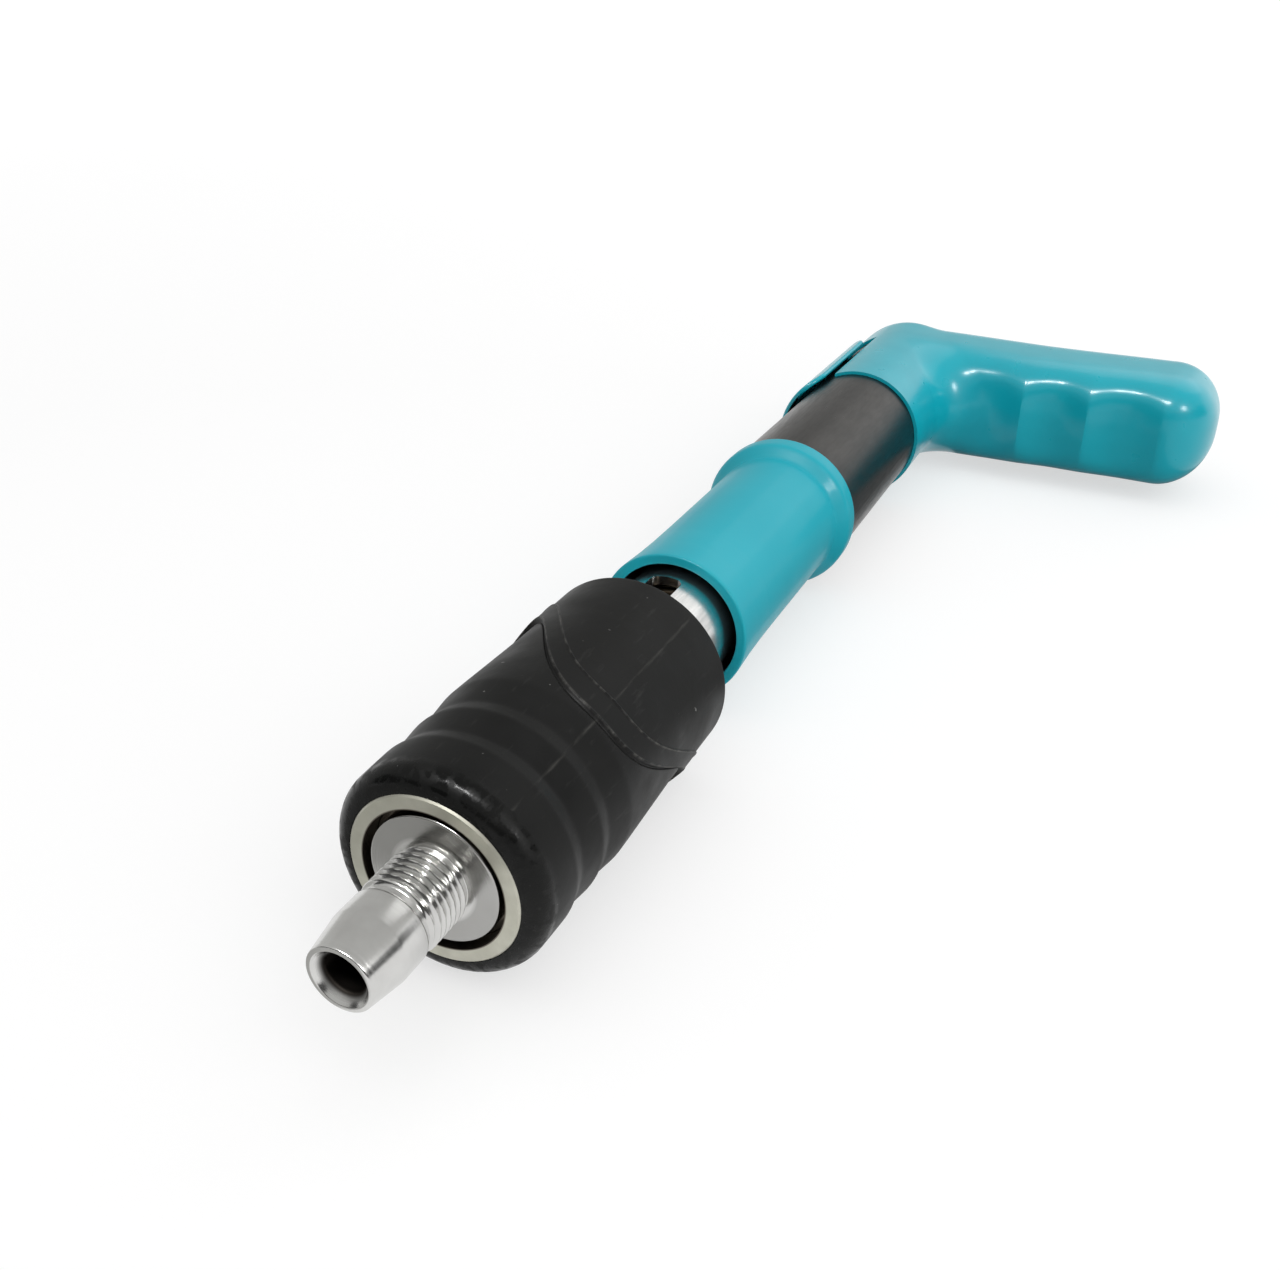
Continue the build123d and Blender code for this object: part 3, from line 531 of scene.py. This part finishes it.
# Moulded black rubber: deep grey and half matt, with a fine grain from the mould, dusty
# scuffs drawn out along the grip, a few bright nicks and a nose rubbed shiny in patches.
rubber, tree, shader, place = start_finish(
    "moulded_black_rubber", {"IOR": 1.5, "Specular IOR Level": 0.15}
)
grain = add_node(
    tree, "ShaderNodeTexNoise", {"Scale": 1 / (0.45 * MM), "Detail": 3.0},
    {"Vector": (place, "Object")},
)
unevenness = add_node(
    tree, "ShaderNodeTexNoise", {"Scale": 1 / (11 * MM), "Detail": 3.0},
    {"Vector": (place, "Object")},
)
stretch = add_node(
    tree, "ShaderNodeMapping", {"Scale": (0.18, 1, 1)}, {"Vector": (place, "Object")}
)
scuff = add_node(
    tree, "ShaderNodeTexNoise", {"Scale": 1 / (1.6 * MM), "Detail": 6.0, "Roughness": 0.6},
    {"Vector": (stretch, "Vector")},
)
dust = add_node(
    tree, "ShaderNodeMapRange", {"From Min": 0.60, "From Max": 0.80},
    {"Value": (scuff, "Fac")},
)
speck = add_node(
    tree, "ShaderNodeTexNoise", {"Scale": 1 / (1.9 * MM), "Detail": 2.0},
    {"Vector": (place, "Object")},
)
nick = add_node(
    tree, "ShaderNodeMapRange", {"From Min": 0.76, "From Max": 0.8, "To Max": 0.6},
    {"Value": (speck, "Fac")},
)
tone = add_node(
    tree, "ShaderNodeMix",
    {"data_type": "RGBA", 6: linear("#080909"), 7: linear("#1A1A19")},
    {0: (unevenness, "Fac")},
)
dusty = add_node(
    tree, "ShaderNodeMix", {"data_type": "RGBA", 7: linear("#292928")},
    {0: (dust, "Result"), 6: (tone, 2)},
)
nicked = add_node(
    tree, "ShaderNodeMix", {"data_type": "RGBA", 7: linear("#8A8A88")},
    {0: (nick, "Result"), 6: (dusty, 2)},
)
dull = add_node(
    tree, "ShaderNodeMapRange",
    {"From Min": 0.3, "From Max": 0.7, "To Min": 0.4, "To Max": 0.56},
    {"Value": (unevenness, "Fac")},
)
axes = add_node(tree, "ShaderNodeSeparateXYZ", {}, {"Vector": (place, "Object")})
on_nose = add_node(
    tree, "ShaderNodeMapRange",
    {"From Min": -33 * MM, "From Max": -30 * MM, "interpolation_type": "SMOOTHSTEP"},
    {"Value": (axes, "X")},
)
rubbed = add_node(
    tree, "ShaderNodeMapRange", {"From Min": 0.4, "From Max": 0.55, "To Max": 0.3},
    {"Value": (speck, "Fac")},
)
polish = add_node(
    tree, "ShaderNodeMath", {"operation": "MULTIPLY"},
    {0: (on_nose, "Result"), 1: (rubbed, "Result")},
)
dull = add_node(
    tree, "ShaderNodeMath", {"operation": "SUBTRACT"}, {0: (dull, "Result"), 1: (polish, "Value")}
)
pebble = add_node(
    tree, "ShaderNodeBump", {"Strength": 0.3, "Distance": 0.05 * MM},
    {"Height": (grain, "Fac")},
)
wavy = add_node(
    tree, "ShaderNodeBump", {"Strength": 0.35, "Distance": 0.4 * MM},
    {"Height": (unevenness, "Fac"), "Normal": (pebble, "Normal")},
)
# The pale broken patches on the lip and the mould line are scuffs, and in part a painted
# highlight.
edge_scuff_and_highlight = add_node(tree, "ShaderNodeAttribute", {"attribute_name": "scuffed_and_highlit_edge"})
broken = add_node(
    tree, "ShaderNodeMapRange", {"From Min": 0.42, "From Max": 0.72}, {"Value": (scuff, "Fac")}
)
patchy = add_node(
    tree, "ShaderNodeMath", {"operation": "MULTIPLY"}, {0: (edge_scuff_and_highlight, "Fac"), 1: (broken, "Result")}
)
edged = add_node(
    tree, "ShaderNodeMix", {"data_type": "RGBA", 7: linear("#5C5B57")},
    {0: (patchy, "Value"), 6: (nicked, 2)},
)
tree.links.new(edged.outputs[2], shader.inputs["Base Color"])
tree.links.new(dull.outputs["Value"], shader.inputs["Roughness"])
tree.links.new(wavy.outputs["Normal"], shader.inputs["Normal"])
fit(grip, rubber, "slide", "black_rubber", "rubber_grip")

# Collar: spun aluminium sleeve, stove enamelled teal. A rolled lip in front, a waist, and a
# full rim behind that is screwed onto the receiver.
collar_front, collar_bore, mouth_bore, mouth_rear, bore_front = 130.32, 17.05, 16.6, 134.5, 136.0
lip_depth, lip_blunt = 1.0, 0.45
rim_rear, rim_round, rim_fall, rim_step, rim_bore = 211.6, 1.3, 1.1, 207.82, 20.45
waist_station = [130, 132, 135, 140, 148, 160, 190, 202.3, 205.0, 205.8, 207, 211]
waist_radius = [19.15, 19.1, 18.95, 18.7, 18.5, 18.45, 18.55, 18.65, 21.2, 21.6, 21.7, 21.65]
outer = np.linspace(collar_front + lip_depth, rim_rear - rim_round, 300)
soften = np.hanning(9) / np.hanning(9).sum()
swell = np.pad(np.interp(outer, waist_station, waist_radius), len(soften) // 2, "edge")
swell = np.convolve(swell, soften, "valid")
lip_turn = np.linspace(-np.pi / 2, np.pi / 2, 28)[:-1]
lip_middle, lip_half = (swell[0] + mouth_bore) / 2, (swell[0] - mouth_bore) / 2
lip_station = collar_front + lip_depth * (1 - np.abs(np.cos(lip_turn)) ** lip_blunt)
lip_radius = lip_middle + lip_half * np.sign(lip_turn) * np.abs(np.sin(lip_turn)) ** lip_blunt
rim_turn = np.linspace(0, np.pi / 2, 7)[1:]
rim_station = rim_rear - rim_round + rim_round * np.sin(rim_turn)
rim_radius = swell[-1] - rim_fall * (1 - np.cos(rim_turn))
collar_outline = np.concatenate([
    np.stack([lip_station, lip_radius], 1), np.stack([outer, swell], 1),
    np.stack([rim_station, rim_radius], 1),
    [(rim_rear, rim_bore), (rim_step, rim_bore), (rim_step, collar_bore),
     (bore_front, collar_bore), (mouth_rear, mouth_bore)],
])
collar = skin(
    "collar_spinning", turned(collar_outline[:, 0], collar_outline[:, 1:], 200), ring_path=True
)

# Stove enamel: an even teal with a soft gloss and a faint orange peel about 1.4 mm across. Past
# the lip the bore has only its grey primer.
enamel, tree, shader, place = start_finish(
    "teal_stove_enamel",
    {"IOR": 1.5, "Specular IOR Level": 0.25, "Coat Weight": 0.15, "Coat Roughness": 0.12},
)
peel = add_node(
    tree, "ShaderNodeTexNoise", {"Scale": 1 / (1.4 * MM), "Detail": 1.0},
    {"Vector": (place, "Object")},
)
thickness = add_node(
    tree, "ShaderNodeTexNoise", {"Scale": 1 / (22 * MM), "Detail": 3.0},
    {"Vector": (place, "Object")},
)
teal = add_node(
    tree, "ShaderNodeMix",
    {"data_type": "RGBA", 6: linear("#15B0C1"), 7: linear("#0DA6B8")},
    {0: (thickness, "Fac")},
)
dull = add_node(
    tree, "ShaderNodeMapRange", {"To Min": 0.4, "To Max": 0.52},
    {"Value": (thickness, "Fac")},
)
ripple = add_node(
    tree, "ShaderNodeBump", {"Strength": 0.06, "Distance": 0.05 * MM},
    {"Height": (peel, "Fac")},
)
radius = from_axis(tree, place)
within = add_node(
    tree, "ShaderNodeMapRange", {"From Min": 17.5 * MM, "From Max": 17.2 * MM},
    {"Value": (radius, "Value")},
)
axes = add_node(tree, "ShaderNodeSeparateXYZ", {}, {"Vector": (place, "Object")})
past_lip = add_node(
    tree, "ShaderNodeMapRange", {"From Min": -130.9 * MM, "From Max": -131.5 * MM},
    {"Value": (axes, "X")},
)
within = add_node(
    tree, "ShaderNodeMath", {"operation": "MULTIPLY"},
    {0: (within, "Result"), 1: (past_lip, "Result")},
)
primed = add_node(
    tree, "ShaderNodeMix", {"data_type": "RGBA", 7: linear("#4A6068")},
    {0: (within, "Value"), 6: (teal, 2)},
)
tree.links.new(primed.outputs[2], shader.inputs["Base Color"])
tree.links.new(dull.outputs["Result"], shader.inputs["Roughness"])
tree.links.new(ripple.outputs["Normal"], shader.inputs["Normal"])
fit(collar, enamel, "frame", "teal_enamel", "collar")

# Receiver tube: seamless steel tube, polished along its length and black oxided. It carries
# the guide tube in front, the lever on its far side and the handle behind.
oxide, tree, shader, place = start_finish("black_oxide_steel", {"Metallic": 1.0})
stretch = add_node(
    tree, "ShaderNodeMapping", {"Scale": (0.15, 1, 1)}, {"Vector": (place, "Object")}
)
polish = add_node(
    tree, "ShaderNodeTexNoise", {"Scale": 1 / (0.9 * MM), "Detail": 4.0},
    {"Vector": (stretch, "Vector")},
)
handling = add_node(
    tree, "ShaderNodeTexNoise", {"Scale": 1 / (12 * MM), "Detail": 4.0},
    {"Vector": (place, "Object")},
)
film = add_node(
    tree, "ShaderNodeMix",
    {"data_type": "RGBA", 6: linear("#333333"), 7: linear("#4B4947")}, {0: (handling, "Fac")},
)
dull = add_node(
    tree, "ShaderNodeMapRange", {"To Min": 0.22, "To Max": 0.42}, {"Value": (polish, "Fac")}
)
lines = add_node(
    tree, "ShaderNodeBump", {"Strength": 0.08, "Distance": 0.02 * MM},
    {"Height": (polish, "Fac")},
)
tree.links.new(film.outputs[2], shader.inputs["Base Color"])
tree.links.new(dull.outputs["Result"], shader.inputs["Roughness"])
tree.links.new(lines.outputs["Normal"], shader.inputs["Normal"])
dress(oxide, "receiver_tube")

# Handle: one thick glossy moulding. A hub pushed over the receiver, an elbow with a wide inner
# curve, a grip with three finger scoops in front, and a round butt.
hub_front, hub_rear, hub_radius, hub_round = 283.82, 363.82, 21.5, 12.0
bend_station, bend_height, bend_radius = 306.82, 35.5, 35.5
half_grip, neck_swell, swell_height = 19.0, 1.5, 62.0
ridge_front, ridge_flare, ridge_height = 318.22, 1.4, [37.2, 48.5, 70.6, 94.5]
scoop_depth, scoop_flat, scoop_edge, scoop_soft = 3.5, 5.0, 11.5, 0.4
square_front, square_neck, square_rear, square_height = 3.0, 0.9, 3.6, 52.0
elbow_fillet, seam_fillet, fillet_rear, fillet_run = 17.0, 0.5, 360.0, 26.0
butt_end, butt_round, butt_pull = 111.5, 17.0, 1.3
socket_rear, socket_radius = 351.12, 20.45
lever_rear_gap, hub_cut, cut_depth, cut_side, cut_overrun = 334.42, 8.6, 24.0, 40.0, 3.0
hub_rows, bend_rows, grip_rows, butt_rows, handle_columns = 16, 63, 91, 24, 160
sliver_width = 0.02 * MM


def handle_depth(station, height, side):
    """Signed distance out of the handle: a hub with a round rear corner and a grip whose level
    sections are squared ovals, joined by a fillet that is wide in the elbow. An oval's distance
    is its scaled radius less one, over the slope of that radius."""
    spoke = np.hypot(height, side)
    out = np.stack([spoke - hub_radius + hub_round, station - hub_rear + hub_round])
    hub = np.hypot(*np.maximum(out, 0)) + np.minimum(out.max(0), 0) - hub_round
    rise = np.clip((height - butt_end + butt_round) / butt_round, 0, 0.9999)
    inset = butt_round * (1 - np.sqrt(1 - rise**2))
    finger = np.interp(height, ridge_height, [-0.5, 0, 1, 2])
    across = (finger % 1 - 0.5) * 2
    over = np.maximum(np.abs(side) - scoop_flat, 0) / scoop_edge
    hollow = 1 - across**2 - over**2
    scoop = scoop_depth * (hollow + np.sqrt(hollow**2 + scoop_soft)) / 2
    flare = ridge_flare * np.clip((height - bend_height) / swell_height, 0, 1)
    front = ridge_front - flare + scoop + butt_pull * inset
    neck = np.clip(height / swell_height, 0, 1)
    half = half_grip + neck_swell * (1 - neck) ** 2 * (1 + 2 * neck) - inset
    rear = hub_rear - inset
    share = np.clip(height / square_height, 0, 1)
    reach = (rear - front) / 2
    power = square_front - square_neck * (1 - share) ** 2 * (1 + 2 * share)
    power = np.where(station < front + reach, power, square_rear)
    along, up = np.abs(station - front - reach) / reach, np.abs(side) / half
    scaled = (along**power + up**power) ** (1 / power) + 1e-9
    slope = np.hypot(along ** (power - 1) / reach, up ** (power - 1) / half)
    grip = (scaled - 1) / (slope * scaled ** (1 - power) + 1e-9)
    grip = np.maximum(grip, np.maximum(-height, height - butt_end))
    within = elbow_fillet * np.sqrt(np.clip(1 - (side / hub_radius) ** 2, 0, 1))
    within = seam_fillet + within * np.clip((fillet_rear - station) / fillet_run, 0, 1)
    near = np.clip(1 - np.abs(hub - grip) / within, 0, 1)
    joined = np.minimum(hub, grip) - near**2 * within / 4
    return np.maximum(joined, station - hub_rear)


straight = np.linspace(hub_front, bend_station, hub_rows)
bend = np.linspace(0, np.pi / 2, bend_rows + 1)[1:]
butt_turn = np.linspace(0, np.pi / 2, butt_rows + 2)[1:-1]
down = np.concatenate([
    np.linspace(bend_height, butt_end - butt_round, grip_rows + 1)[1:],
    butt_end - butt_round + butt_round * np.sin(butt_turn), [butt_end - 0.02],
])
spine_station = np.concatenate([
    straight, bend_station + bend_radius * np.sin(bend),
    np.full(len(down), bend_station + bend_radius),
])[:, None]
spine_height = np.concatenate([
    np.zeros(hub_rows), bend_height - bend_radius * np.cos(bend), down
])[:, None]
lean = np.concatenate([np.zeros(hub_rows), bend, np.full(len(down), np.pi / 2)])[:, None]
angle = np.linspace(0, 2 * np.pi, handle_columns, endpoint=False)[None, :]
ray = np.stack([
    -np.cos(angle) * np.sin(lean), np.cos(angle) * np.cos(lean),
    np.sin(angle) * np.ones_like(lean),
])
inside, outside = np.zeros(ray.shape[1:]), np.full(ray.shape[1:], 60.0)
for halving in range(34):
    middle = (inside + outside) / 2
    solid = handle_depth(
        spine_station + middle * ray[0], spine_height + middle * ray[1], middle * ray[2]
    ) < 0
    inside, outside = np.where(solid, middle, inside), np.where(solid, outside, middle)
handle_rings = np.stack([
    -spine_station - inside * ray[0], spine_height + inside * ray[1], inside * ray[2]
], -1)
handle = skin("handle_moulding", handle_rings)
cut_front = hub_front - cut_overrun
socket = skin(
    "socket_cutter", turned(np.array([cut_front, socket_rear]), socket_radius, handle_columns)
)
cut_foot = -hub_cut - cut_depth
cut_square = np.array([
    (-hub_cut, cut_side), (cut_foot, cut_side), (cut_foot, -cut_side), (-hub_cut, -cut_side)
])
cut_rings = np.stack([
    np.column_stack([np.full(4, -end), cut_square]) for end in (cut_front, lever_rear_gap)
])
lever_cut = skin("lever_cut_cutter", cut_rings)
for cutter in (socket, lever_cut):
    carve = handle.modifiers.new(cutter.name, "BOOLEAN")
    carve.operation, carve.object, carve.solver = "DIFFERENCE", cutter, "EXACT"
carved = bpy.data.meshes.new_from_object(
    handle.evaluated_get(bpy.context.evaluated_depsgraph_get())
)
handle.modifiers.clear()
handle.data = carved
for cutter in (socket, lever_cut):
    bpy.data.objects.remove(cutter)
weld = bmesh.new()
weld.from_mesh(carved)
bmesh.ops.remove_doubles(weld, verts=weld.verts, dist=sliver_width)
bmesh.ops.dissolve_degenerate(weld, edges=weld.edges, dist=sliver_width / 4)
weld.to_mesh(carved)
weld.free()
carved.shade_smooth()
carved.set_sharp_from_angle(angle=np.radians(30))

# Moulded ABS, teal through and through: a high gloss off a polished mould, with slow ripples
# about 14 mm long where the thick walls sank, and fine rubbing from handling.
abs_teal, tree, shader, place = start_finish(
    "teal_moulded_abs",
    {"IOR": 1.5, "Specular IOR Level": 0.3, "Coat Weight": 0.35, "Coat Roughness": 0.17},
)
sink = add_node(
    tree, "ShaderNodeTexNoise", {"Scale": 1 / (14 * MM), "Detail": 1.0},
    {"Vector": (place, "Object")},
)
rub = add_node(
    tree, "ShaderNodeTexNoise", {"Scale": 1 / (7 * MM), "Detail": 2.0},
    {"Vector": (place, "Object")},
)
teal = add_node(
    tree, "ShaderNodeMix",
    {"data_type": "RGBA", 6: linear("#0CB3C4"), 7: linear("#04A6B8")}, {0: (sink, "Fac")},
)
dull = add_node(
    tree, "ShaderNodeMapRange", {"To Min": 0.25, "To Max": 0.33}, {"Value": (rub, "Fac")}
)
sunk = add_node(
    tree, "ShaderNodeBump", {"Strength": 0.12, "Distance": 0.4 * MM},
    {"Height": (sink, "Fac")},
)
tree.links.new(teal.outputs[2], shader.inputs["Base Color"])
tree.links.new(dull.outputs["Result"], shader.inputs["Roughness"])
tree.links.new(sunk.outputs["Normal"], shader.inputs["Normal"])
fit(handle, abs_teal, "frame", "teal_moulding", "handle")

# Handle screws: two blacked pan-head screws that hold the handle on the receiver from below. The
# rows of a screw give its radius and how far it stands out of the hub, from its hexagon socket
# out over the head and down the shank.
socket_floor = [(0.12, 0.9)]
socket_wall = [(1.5, 0.95), (1.5, 1.6)]
pan_head = [(1.7, 1.6), (2.4, 1.55), (3.1, 1.25), (3.45, 0.7), (3.5, 0.1), (3.4, 0.0)]
shank = [(2.05, 0.0), (2.0, -0.1), (2.0, -4.6), (1.7, -4.7)]
screw_rows = np.array(socket_floor + socket_wall + pan_head + shank)
around = np.linspace(0, 2 * np.pi, 72, endpoint=False)
hexagon = np.cos(np.pi / 6) / np.cos((around + np.pi / 6) % (np.pi / 3) - np.pi / 6)
spread = np.repeat(screw_rows[:, :1], len(around), axis=1)
spread[len(socket_floor):len(socket_floor + socket_wall)] *= hexagon
for number, screw_station in enumerate((292.82, 305.82)):
    rings = np.stack([
        -screw_station + spread * np.cos(around), spread * np.sin(around),
        np.broadcast_to(-hub_radius - screw_rows[:, 1:], spread.shape),
    ], -1)
    screw = skin(f"handle_screw_{number + 1}", rings)
    fit(screw, blacked, "frame", "black_screws", "handle_screws")

# Release lever: a teal moulded saddle beside the hub with a web on its underside that carries
# the sear. It rocks on the lever pin and is lifted in front by a small coil spring.
lever_front, lever_rear, lever_middle, lever_half = 273.02, 332.02, 22.68, 0.8
lever_wide, lever_corner = 24.3, 9.0
web_half, web_top, web_foot = 4.0, 22.4, 14.8
web_front, web_rear, web_chamfer, web_taper = 304.32, 326.78, 0.38, 0.95
lever_spring_station, lever_spring_foot = 283.02, 18.5
end_rows, middle_rows, face_columns, edge_columns = 17, 22, 60, 8
end_turn = np.linspace(0, np.pi / 2, end_rows + 1)[1:]
end_run = np.concatenate([[0.02], lever_corner * (1 - np.cos(end_turn))])
middle_run = np.linspace(lever_front + lever_corner, lever_rear - lever_corner, middle_rows + 2)
lever_station = np.concatenate([
    lever_front + end_run, middle_run[1:-1], lever_rear - end_run[::-1],
])[:, None]
from_end = np.minimum(lever_station - lever_front, lever_rear - lever_station)
trim = lever_corner - np.sqrt(
    lever_corner**2 - np.clip(lever_corner - from_end, 0, lever_corner) ** 2
)
wide = lever_wide - trim
thick = np.sqrt(lever_half**2 - np.clip(lever_half - from_end, 0, lever_half - 0.1) ** 2)
face, flat = np.linspace(-1, 1, face_columns), np.zeros(face_columns)
edge = np.linspace(-np.pi / 2, np.pi / 2, edge_columns + 2)[1:-1]
level = np.concatenate([face, np.ones(edge_columns), -face, -np.ones(edge_columns)])
bulge = np.concatenate([flat, np.cos(edge), flat, -np.cos(edge)])
tall = np.concatenate([flat + 1, -np.sin(edge), flat - 1, np.sin(edge)])
reach = (level * (wide - thick) + bulge * thick) / lever_middle
height = lever_middle + tall * thick
lever_rings = np.stack([
    np.broadcast_to(-lever_station, reach.shape), -height * np.cos(reach), height * np.sin(reach)
], -1)
lever = skin("lever_saddle", lever_rings)
fit(lever, abs_teal, "lever", "teal_enamel", "release_lever")
web_outline = rounded([
    (-web_half, -web_top, 0.2), (web_half, -web_top, 0.2),
    (web_half, -web_foot, 0.5), (-web_half, -web_foot, 0.5),
])
web_station = np.array([web_front, web_front + web_chamfer, web_rear - web_chamfer, web_rear])
web_size = np.array([web_taper, 1.0, 1.0, web_taper])[:, None]
web_middle = -(web_top + web_foot) / 2
web_rings = np.stack([
    np.broadcast_to(-web_station[:, None], (4, len(web_outline))),
    web_middle + web_size * (web_outline[:, 1] - web_middle), web_size * web_outline[:, 0],
], -1)
web = skin("lever_web", web_rings)
fit(web, abs_teal, "lever", "teal_enamel")
lever_spring = coil_spring(
    "lever_spring_wire", (-lever_spring_station, -lever_spring_foot, 0),
    outward=(1, 0, 0), axis=(0, -1, 0), radius=2.5, wire=0.6, turns=3, length=3.3,
)
fit(lever_spring, spring_steel, "frame", "spring_steel", "lever_spring")
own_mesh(lever_spring)

# Studio: a pale floor under the grip and white behind it. Wide soft panels light the tool. Two
# ceiling lamps and a window show only as highlights, and the grey walls and cards are seen only
# by reflections, so that the chrome has edges and shades.
floor_level, floor_half = cad_box[0][2] / MM - 0.02, 60000
paper_near, paper_far, sky_fill, sky_seen = 0.62, 0.94, 0.5, 1.0


def seen_directly(tree):
    """The node that is 1 for rays from the camera, off a gloss or through glass, and else 0."""
    path = add_node(tree, "ShaderNodeLightPath", {})
    seen = add_node(
        tree, "ShaderNodeMath", {"operation": "ADD"},
        {0: (path, "Is Camera Ray"), 1: (path, "Is Glossy Ray")},
    )
    return add_node(
        tree, "ShaderNodeMath", {"operation": "ADD", "use_clamp": True},
        {0: (seen, "Value"), 1: (path, "Is Transmission Ray")},
    )


def sheet(name, points, faces, finish):
    """Flat faces of the studio, with points in mm, that aren't part of the tool."""
    mesh = bpy.data.meshes.new(name)
    mesh.from_pydata((points * MM).tolist(), [], faces)
    mesh.materials.append(finish)
    made = bpy.data.objects.new(name, mesh)
    bpy.context.scene.collection.objects.link(made)
    return made


paper = bpy.data.materials.new("white_paper_sweep")
paper.use_nodes = True
tree = paper.node_tree
tree.nodes.clear()
spot = add_node(tree, "ShaderNodeTexCoord", {})
distance = add_node(
    tree, "ShaderNodeVectorMath", {"operation": "LENGTH"}, {0: (spot, "Object")}
)
glow = add_node(
    tree, "ShaderNodeMapRange",
    {"From Min": 0.4, "From Max": 3.0, "To Min": paper_near, "To Max": paper_far},
    {"Value": (distance, "Value")},
)
glow = add_node(
    tree, "ShaderNodeMath", {"operation": "MULTIPLY"},
    {0: (glow, "Result"), 1: (seen_directly(tree), "Value")},
)
matt = add_node(tree, "ShaderNodeBsdfDiffuse", {"Color": linear("#ACACAC")})
white = add_node(
    tree, "ShaderNodeEmission", {"Color": linear("#FFFFFF")}, {"Strength": (glow, "Value")}
)
mixed = add_node(tree, "ShaderNodeAddShader", {}, {0: (matt, 0), 1: (white, 0)})
add_node(tree, "ShaderNodeOutputMaterial", {}, {"Surface": (mixed, "Shader")})
floor_plan = floor_half * np.array([(1, 1), (-1, 1), (-1, -1), (1, -1)])
floor_points = np.column_stack([floor_plan, np.full(4, floor_level)])
sheet("studio_floor", floor_points, [(0, 1, 2, 3)], paper)

world = bpy.data.worlds.new("studio_white")
world.use_nodes = True
tree = world.node_tree
tree.nodes.clear()
strength = add_node(
    tree, "ShaderNodeMapRange", {"To Min": sky_fill, "To Max": sky_seen},
    {"Value": (seen_directly(tree), "Value")},
)
sky = add_node(
    tree, "ShaderNodeBackground", {"Color": linear("#FFFFFF")}, {"Strength": (strength, "Result")}
)
add_node(tree, "ShaderNodeOutputWorld", {}, {"Surface": (sky, "Background")})
bpy.context.scene.world = world

reflectors = []
wall_columns, wall_foot, wall_middle, card_lift = 48, 20, -180, 0.4
left = np.arange(wall_columns - 1)
wall_faces = np.stack([left, left + 1, left + wall_columns + 1, left + wall_columns], -1).tolist()
for name, turns, far, top, grey in (
    ("dark_flag", (-70, 125), 1700, 620, "#2A2A2A"),
    ("grey_wall", (168, 300), 2600, 1590, "#C2C2C0"),
):
    turn = np.radians(np.linspace(*turns, wall_columns))
    plan = np.column_stack([wall_middle + far * np.cos(turn), far * np.sin(turn)])
    wall = np.column_stack([np.tile(plan, (2, 1)), np.repeat([wall_foot, top], wall_columns)])
    reflectors.append((name, wall, wall_faces, grey))
turn = np.linspace(0, 2 * np.pi, wall_columns, endpoint=False)
ceiling = 4000 * np.column_stack([np.cos(turn), np.sin(turn)])
in_front = np.array([(-10, -600), (900, -600), (900, -12), (-10, -12)])
beside = np.array([(-372, 25), (-150, 25), (-150, 118), (-372, 118)])
for name, plan, height, grey in (
    ("overhead_card", ceiling, 1600, "#BCBCBA"),
    ("front_card", in_front, floor_level + card_lift, "#B4B4B2"),
    # This grey card beside the handle is a painted shadow: reflections see it where the handle
    # shades the floor.
    ("handle_shadow_card", beside, floor_level + card_lift, "#7A7A7A"),
):
    card = np.column_stack([plan, np.full(len(plan), height)])
    reflectors.append((name, card, [list(range(len(plan)))], grey))
for name, points, faces, grey in reflectors:
    paint = start_finish(name, {
        "Base Color": linear("#000000"), "Emission Color": linear(grey), "Emission Strength": 1.0
    })[0]
    reflector = sheet(name, points, faces, paint)
    reflector.visible_camera = reflector.visible_diffuse = False
    reflector.visible_shadow = reflector.visible_transmission = False

lamp_target = np.array([-180, 20, 0])
for name, spot, size, power, lights, glints in (
    ("ceiling_lamp_left", (420, -130, 1050), 0.2, 6.0, False, True),
    ("ceiling_lamp_right", (420, 140, 1050), 0.2, 6.0, False, True),
    ("window_panel", (137, 929, 567), 0.28, 4.0, False, True),
    ("soft_panel_top", (-200, -150, 1300), 1.6, 4.4, True, False),
    ("soft_panel_back", (-1217, 335, 803), 1.0, 1.6, True, True),
    ("soft_panel_side", (250, 950, 700), 1.6, 8.6, True, False),
):
    lamp = bpy.data.lights.new(name, "AREA")
    lamp.shape, lamp.size, lamp.energy = "DISK", size, power
    holder = bpy.data.objects.new(name, lamp)
    bpy.context.scene.collection.objects.link(holder)
    aim = lamp_target - np.array(spot)
    aim = aim / np.linalg.norm(aim)
    side = np.cross(aim, (0.1, 0.9, 0.2))
    side /= np.linalg.norm(side)
    placed = np.eye(4)
    placed[:3] = np.column_stack([side, np.cross(side, aim), -aim, np.array(spot) * MM])
    holder.matrix_world = Matrix(placed.tolist())
    holder.visible_diffuse, holder.visible_glossy = lights, glints

# Camera: where the photograph was taken from, low in front of the muzzle on the handle's side.
# Its place and lens are fitted to the tool's own circles and axes.
lens = bpy.data.cameras.new("camera")
lens.sensor_fit, lens.sensor_width, lens.lens = "HORIZONTAL", 36.0, 34.65
lens.clip_start, lens.clip_end = 0.01, 100.0
camera = bpy.data.objects.new("camera", lens)
bpy.context.scene.collection.objects.link(camera)
camera.matrix_world = Matrix((
    (-0.42757, -0.43654, 0.79159, 110.768 * MM),
    (0.90398, -0.20648, 0.37441, 105.473 * MM),
    (0.0, 0.87567, 0.48291, 142.930 * MM),
    (0.0, 0.0, 0.0, 1.0),
))
bpy.context.scene.camera = camera
bpy.context.scene.view_settings.view_transform = "Standard"
